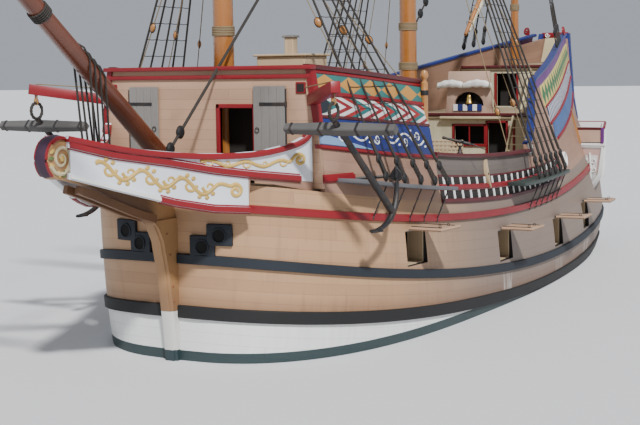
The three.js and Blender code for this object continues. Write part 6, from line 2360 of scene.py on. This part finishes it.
@dataclass(frozen=True)
class Yard:
    """A yard with its furled sail, foot ropes, lifts and blocks, all on the yard's body."""

    key: str
    mast: str
    half: float
    radius: float
    height: float
    lift: float
    sail: float

    def build(self) -> None:
        """Dress the spar, furl the sail and rig it."""
        node = f"{self.key}_yard"
        body = f"{node}_body"
        Dress(node, "mast_wood", AMBER, 0.003, ABEAM, body, 42.0).build()
        pole = MASTS[self.mast]
        y = pole.y - (pole.radius(self.height) + 0.008 + 0.06 + 0.02 + self.radius)
        z = self.height + 0.075
        self.furl(body, y, z)
        piece = Piece(f"{self.key}_yard_rigging", "rope", body)
        rigger = Rigger(piece)
        collar = pole.radius(self.lift) + 0.014
        for k in range(2):
            pole.ring(piece, self.lift + 0.03 * k, collar + 0.02, 0.017, TARRED, 20)
        for side in (-1.0, 1.0):
            tip = Vector((side * self.half * 0.985, y, z + self.radius * 0.45))
            inner = Vector((side * (collar + 0.03), pole.y, self.lift + 0.015))
            rigger.rope(tip, inner, 0.013)
            rigger.block(tip + (inner - tip).normalized() * 0.3, inner - tip, 0.08)
            foot_rope = []
            for t in steps(0.06, 0.95, 12):
                dip = 0.75 * math.sin(math.pi * min(t * 1.05, 1.0)) ** 0.6 * (1 - 0.3 * t)
                foot_rope.append(Vector((side * self.half * t, y + 0.12, z - 0.1 - dip)))
            piece.tube(foot_rope, 0.011, TARRED, 5)
            for t in (0.25, 0.5, 0.75):
                low = foot_rope[0].lerp(foot_rope[-1], (t - 0.06) / 0.89)
                nearest = min(foot_rope, key=lambda p: abs(p.x - low.x))
                piece.tube([Vector((nearest.x, y + 0.02, z - 0.05)), nearest], 0.009, TARRED, 4)
            rigger.block(Vector((side * self.half * 0.35, y - 0.05, z - self.radius - 0.3)), UP, 0.08)
        piece.done(50.0)

    def furl(self, body: str, y: float, z: float) -> None:
        """Roll the sail along the front and underside of the yard and tie it with gaskets."""
        piece = Piece(f"{self.key}_sail", "canvas", body)
        reach = self.half * 0.93
        rings, spots = [], []
        for x in steps(-reach, reach, max(int(reach * 2 / 0.09), 40)):
            t = abs(x) / reach
            lumps = 0.9 + 0.08 * math.sin(x * 5.1) + 0.05 * math.sin(x * 13.7)
            full = self.sail * (1.0 - 0.55 * t ** 1.6) * lumps
            near = gasket_distance(x, 0.62)
            r = full * tied(near) * min(1.0, (1.0 - t) * 9.0 + 0.25)
            lift = self.radius * (1 - 0.5 * t)
            ring = []
            for a in round_angles(20):
                fold = 1.0 + 0.07 * math.sin(3 * a + x * 1.7) + 0.04 * math.sin(7 * a - x * 2.3)
                ring.append(Vector((x, y - lift * 0.55 - r * 0.45 + r * 0.95 * math.cos(a) * fold,
                                    z - lift * 0.3 - r * 0.75 + r * 1.1 * math.sin(a) * fold)))
            rings.append(ring)
            if near < 0.046 and t < 0.96:
                spots.append((x, r, lift))
        piece.loft(rings, SAILCLOTH)
        for x, r, lift in spots:
            middle = Vector((x, y - lift * 0.3 - r * 0.25, z - lift * 0.1 - r * 0.35))
            piece.hoop(middle, AFT * (r + lift * 0.75), UP * (r * 1.2 + lift * 0.95), 0.013, PALE_ROPE, 5, 18)
        piece.done(60.0)


YARDS = (
    Yard("fore", "fore", 5.6, 0.14, 11.6, 12.62, 0.2), Yard("main", "main", 7.2, 0.165, 13.7, 14.75, 0.24),
    Yard("fore_topsail", "fore_top", 3.1, 0.09, 16.1, 19.36, 0.13),
    Yard("main_topsail", "main_top", 3.9, 0.1, 18.9, 22.36, 0.15),
)


@dataclass
class LateenYard:
    """The mizzen's slanting yard with its furled sail."""

    half_low: float = 4.7
    half_high: float = 5.5

    def build(self) -> None:
        """Dress the yard and furl the sail along its underside."""
        body = "mizzen_yard_body"
        Dress("mizzen_yard", "mast_wood", AMBER, 0.003, Vector((0.0, 0.7, 0.7)), body, 42.0).build()
        low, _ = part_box("mizzen_yard")
        run = Vector((0.0, 1.0, 1.0)).normalized()
        down = Vector((0.0, -0.707, 0.707))
        centre = Vector((low.x + 0.105, MASTS["mizzen"].y, 10.4 + 0.075))
        piece = Piece("mizzen_sail", "canvas", body)
        rings, spots = [], []
        for s in steps(-self.half_low * 0.93, self.half_high * 0.93, 110):
            t = abs(s) / (self.half_low if s < 0 else self.half_high)
            r = 0.17 * (1 - 0.6 * t ** 1.5) * (0.9 + 0.08 * math.sin(s * 5.3) + 0.04 * math.sin(s * 12.0))
            near = gasket_distance(s, 0.6)
            r *= tied(near) * min(1.0, (1 - t) * 9 + 0.2)
            middle = centre + run * s + Vector((-0.05, 0.03, -0.03)) - Vector((0.0, -0.7, 0.7)) * (r + 0.04)
            rings.append([middle - ABEAM * r * math.cos(a) * (1 + 0.06 * math.sin(3 * a + s * 2))
                          + down * r * 1.1 * math.sin(a) for a in round_angles(16)])
            if near < 0.05:
                spots.append((middle + down * 0.06 + ABEAM * 0.03, r))
        piece.loft(rings, SAILCLOTH)
        for middle, r in spots:
            piece.hoop(middle, ABEAM * -(r * 1.05 + 0.03), down * (r + 0.15), 0.012, PALE_ROPE, 5, 16)
        piece.done(60.0)


@dataclass
class SpritsailYard:
    """The yard under the bowsprit with its furled sail."""

    def build(self) -> None:
        """Dress the yard and furl the sail under it."""
        body = "spritsail_yard_body"
        Dress("spritsail_yard", "bowsprit_wood", SPAR_RED, 0.003, ABEAM, body, 42.0).build()
        Yard("spritsail", "fore", 4.1, 0.105, 0.0, 0.0, 0.13).furl(body, -17.8, 8.742)


@dataclass
class PortLids:
    """The raised lids of the gunports with battens, hinges and eyes for their ropes."""

    def build(self) -> None:
        """Dress each lid."""
        for port in Port.every():
            node = f"gunport_lid_{port.label}_{port.number}"
            piece = Piece(f"{node}_looks", "lid_wood", f"{node}_body", (node,))
            m = port.frame
            turn = m.to_3x3()
            seams = steps(-0.466, 0.466, 3)
            for a, b in zip(seams, seams[1:]):
                piece.box((0.05, a + 0.003, -0.002), (0.876, b - 0.003, 0.042), LID_TAN, 0.006, m)
            piece.box((0.055, -0.45, -0.028), (0.87, 0.45, -0.002), LID_INSIDE, 0.005, m)
            for s, knuckle in ((-0.31, -0.26), (0.31, 0.26)):
                piece.box((0.036, s - 0.035, 0.0415), (0.8, s + 0.035, 0.052), IRON, 0.003, m)
                piece.box((0.0, knuckle - 0.03, -0.02), (0.07, knuckle + 0.03, 0.02), IRON, 0.003, m)
            piece.tube([m @ (AFT * -0.315), m @ (AFT * 0.315)], 0.027, IRON, 12)
            for s in (-0.2, 0.2):
                eye = m @ Vector((0.7, s, 0.07))
                piece.hoop(eye, turn @ ABEAM * 0.03, turn @ UP * 0.03, 0.008, IRON, 5, 12)
            piece.done()


@dataclass
class SternGear:
    """The rudder, which turns on its own body."""

    def build(self) -> None:
        """Dress the rudder on its body."""
        Dress("rudder", frame_slot("rudder"), HullPaint("rudder_paint"), 0.01, UP, "rudder_body").build()


def cap_height(y: float) -> float:
    """Return the height of the topside's cap rail at y."""
    if y < FORECASTLE_BACK:
        return forecastle_cap(y)
    return waist_cap(y) if y < QUARTER_START else quarter_cap(y)


@dataclass
class RunningRigging:
    """Taut running ropes in tan hemp, with orange blocks, tied down along the rails."""

    def build(self) -> None:
        """Lead halyards, tacks and braces that stay on the ship's own body."""
        piece = Piece("running_rigging", "tan_rope")
        rigger = Rigger(piece)
        for _, side in SIDES:
            for top, foot in self.leads(side):
                rigger.rope(top, foot, 0.012, HEMP)
                run = (foot - top).normalized()
                rigger.block(foot - run * 1.1, run, 0.095)
                rigger.block(top + run * 0.35, run, 0.085)
                for k in range(3):
                    piece.ball(foot + Vector((0.02 * k, 0.0, -0.05 * k)), 0.045, HEMP, (1.0, 1.3, 0.8), 8)
        piece.done(50.0)

    @staticmethod
    def leads(side: float) -> list[tuple[Vector, Vector]]:
        """Return head and foot of each rope of one side."""
        found = []
        for mast, head_z, feet in (("fore", 11.1, (-8.6, -7.4, -6.1)), ("main", 13.1, (-0.4, 1.2, 2.4, 3.5))):
            pole = MASTS[mast]
            for i, y in enumerate(feet):
                cap = cap_height(y)
                foot = Vector((side * (LINES.half(y, cap) - 0.1), y, cap + 0.06))
                head = Vector((side * (pole.radius(head_z) + 0.03), pole.y + 0.06 * i, head_z - 0.3 * i))
                found.append((head, foot))
        return found


@dataclass
class Studio:
    """The camera, the pale floor at the waterline and the soft light."""

    place: tuple[float, float, float] = (16.906, -34.185, 6.071)
    yaw: float = 0.52331
    pitch: float = -0.10401
    roll: float = -0.01392
    focal_px: float = 1350.08
    width_px: float = 640.0

    def build(self) -> None:
        """Add the camera, floor, world and lamps."""
        self.camera()
        floor = bpy.data.objects.new("studio_floor", self.floor_mesh())
        bpy.context.scene.collection.objects.link(floor)
        graph = Graph("studio_floor_paper")
        floor.data.materials.append(graph.finish(Base_Color=(0.62, 0.62, 0.63), Roughness=0.9))
        self.light()

    @staticmethod
    def floor_mesh() -> bpy.types.Mesh:
        """Make the floor: one large square at the waterline."""
        data = bpy.data.meshes.new("studio_floor")
        part = bmesh.new()
        bmesh.ops.create_grid(part, x_segments=1, y_segments=1, size=400.0)
        part.to_mesh(data)
        part.free()
        return data

    def camera(self) -> None:
        """Place the camera at the photo's viewing angle."""
        data = bpy.data.cameras.new("photo_camera")
        data.sensor_width = 36.0
        data.lens = self.focal_px / self.width_px * data.sensor_width
        data.clip_end = 2000.0
        made = bpy.data.objects.new("photo_camera", data)
        flat = math.cos(self.pitch)
        ahead = Vector((-math.sin(self.yaw) * flat, math.cos(self.yaw) * flat, math.sin(self.pitch)))
        right = ahead.cross(UP).normalized()
        top = right.cross(ahead)
        c, s = math.cos(self.roll), math.sin(self.roll)
        right, top = right * c + top * s, top * c - right * s
        made.matrix_world = Matrix.Translation(self.place) @ Matrix((right, top, -ahead)).transposed().to_4x4()
        bpy.context.scene.collection.objects.link(made)
        bpy.context.scene.camera = made

    @staticmethod
    def light() -> None:
        """Light the ship with a soft key from the camera's right, a fill and a pale sky."""
        world = bpy.data.worlds.new("studio_sky")
        world.use_nodes = True
        back = world.node_tree.nodes["Background"]
        back.inputs["Color"].default_value = (0.8, 0.86, 0.95, 1.0)
        back.inputs["Strength"].default_value = 0.5
        bpy.context.scene.world = world
        for name, turn, strength, size in (("key", (46.0, 0.0, 44.0), 5.4, 4.0),
                                           ("fill", (60.0, 0.0, -35.0), 0.3, 40.0)):
            lamp = bpy.data.lights.new(name, "SUN")
            lamp.energy, lamp.angle = strength, math.radians(size)
            made = bpy.data.objects.new(name, lamp)
            made.rotation_euler = tuple(math.radians(a) for a in turn)
            bpy.context.scene.collection.objects.link(made)


def main() -> None:
    """Build the ship's looks, one sub-assembly after another."""
    logging.basicConfig(level=logging.INFO, format="%(name)s: %(message)s")
    ship = [
        HullShell(), StemWork(), HeadRails(), Hawse(), Anchors(),
        Wall("waist_bulwark", FORECASTLE_BACK, QUARTER_START, waist_cap, SCREEN),
        Wall("forecastle_side", FORECASTLE_FRONT, FORECASTLE_BACK, forecastle_cap, TAN),
        Wall("quarter_side", QUARTER_START, LINES.stern_y, quarter_cap, TAN, raked=True),
        ForecastleWork(), WaistWork(), HalfDeckWork(), QuarterWork(), MastWork(), StandingRigging(), *YARDS,
        LateenYard(), SpritsailYard(), PortLids(), SternGear(), RunningRigging(), Studio(),
    ]
    for part in ship:
        part.build()
        LOG.info("built %s", type(part).__name__)


if __name__ == "__main__":
    main()
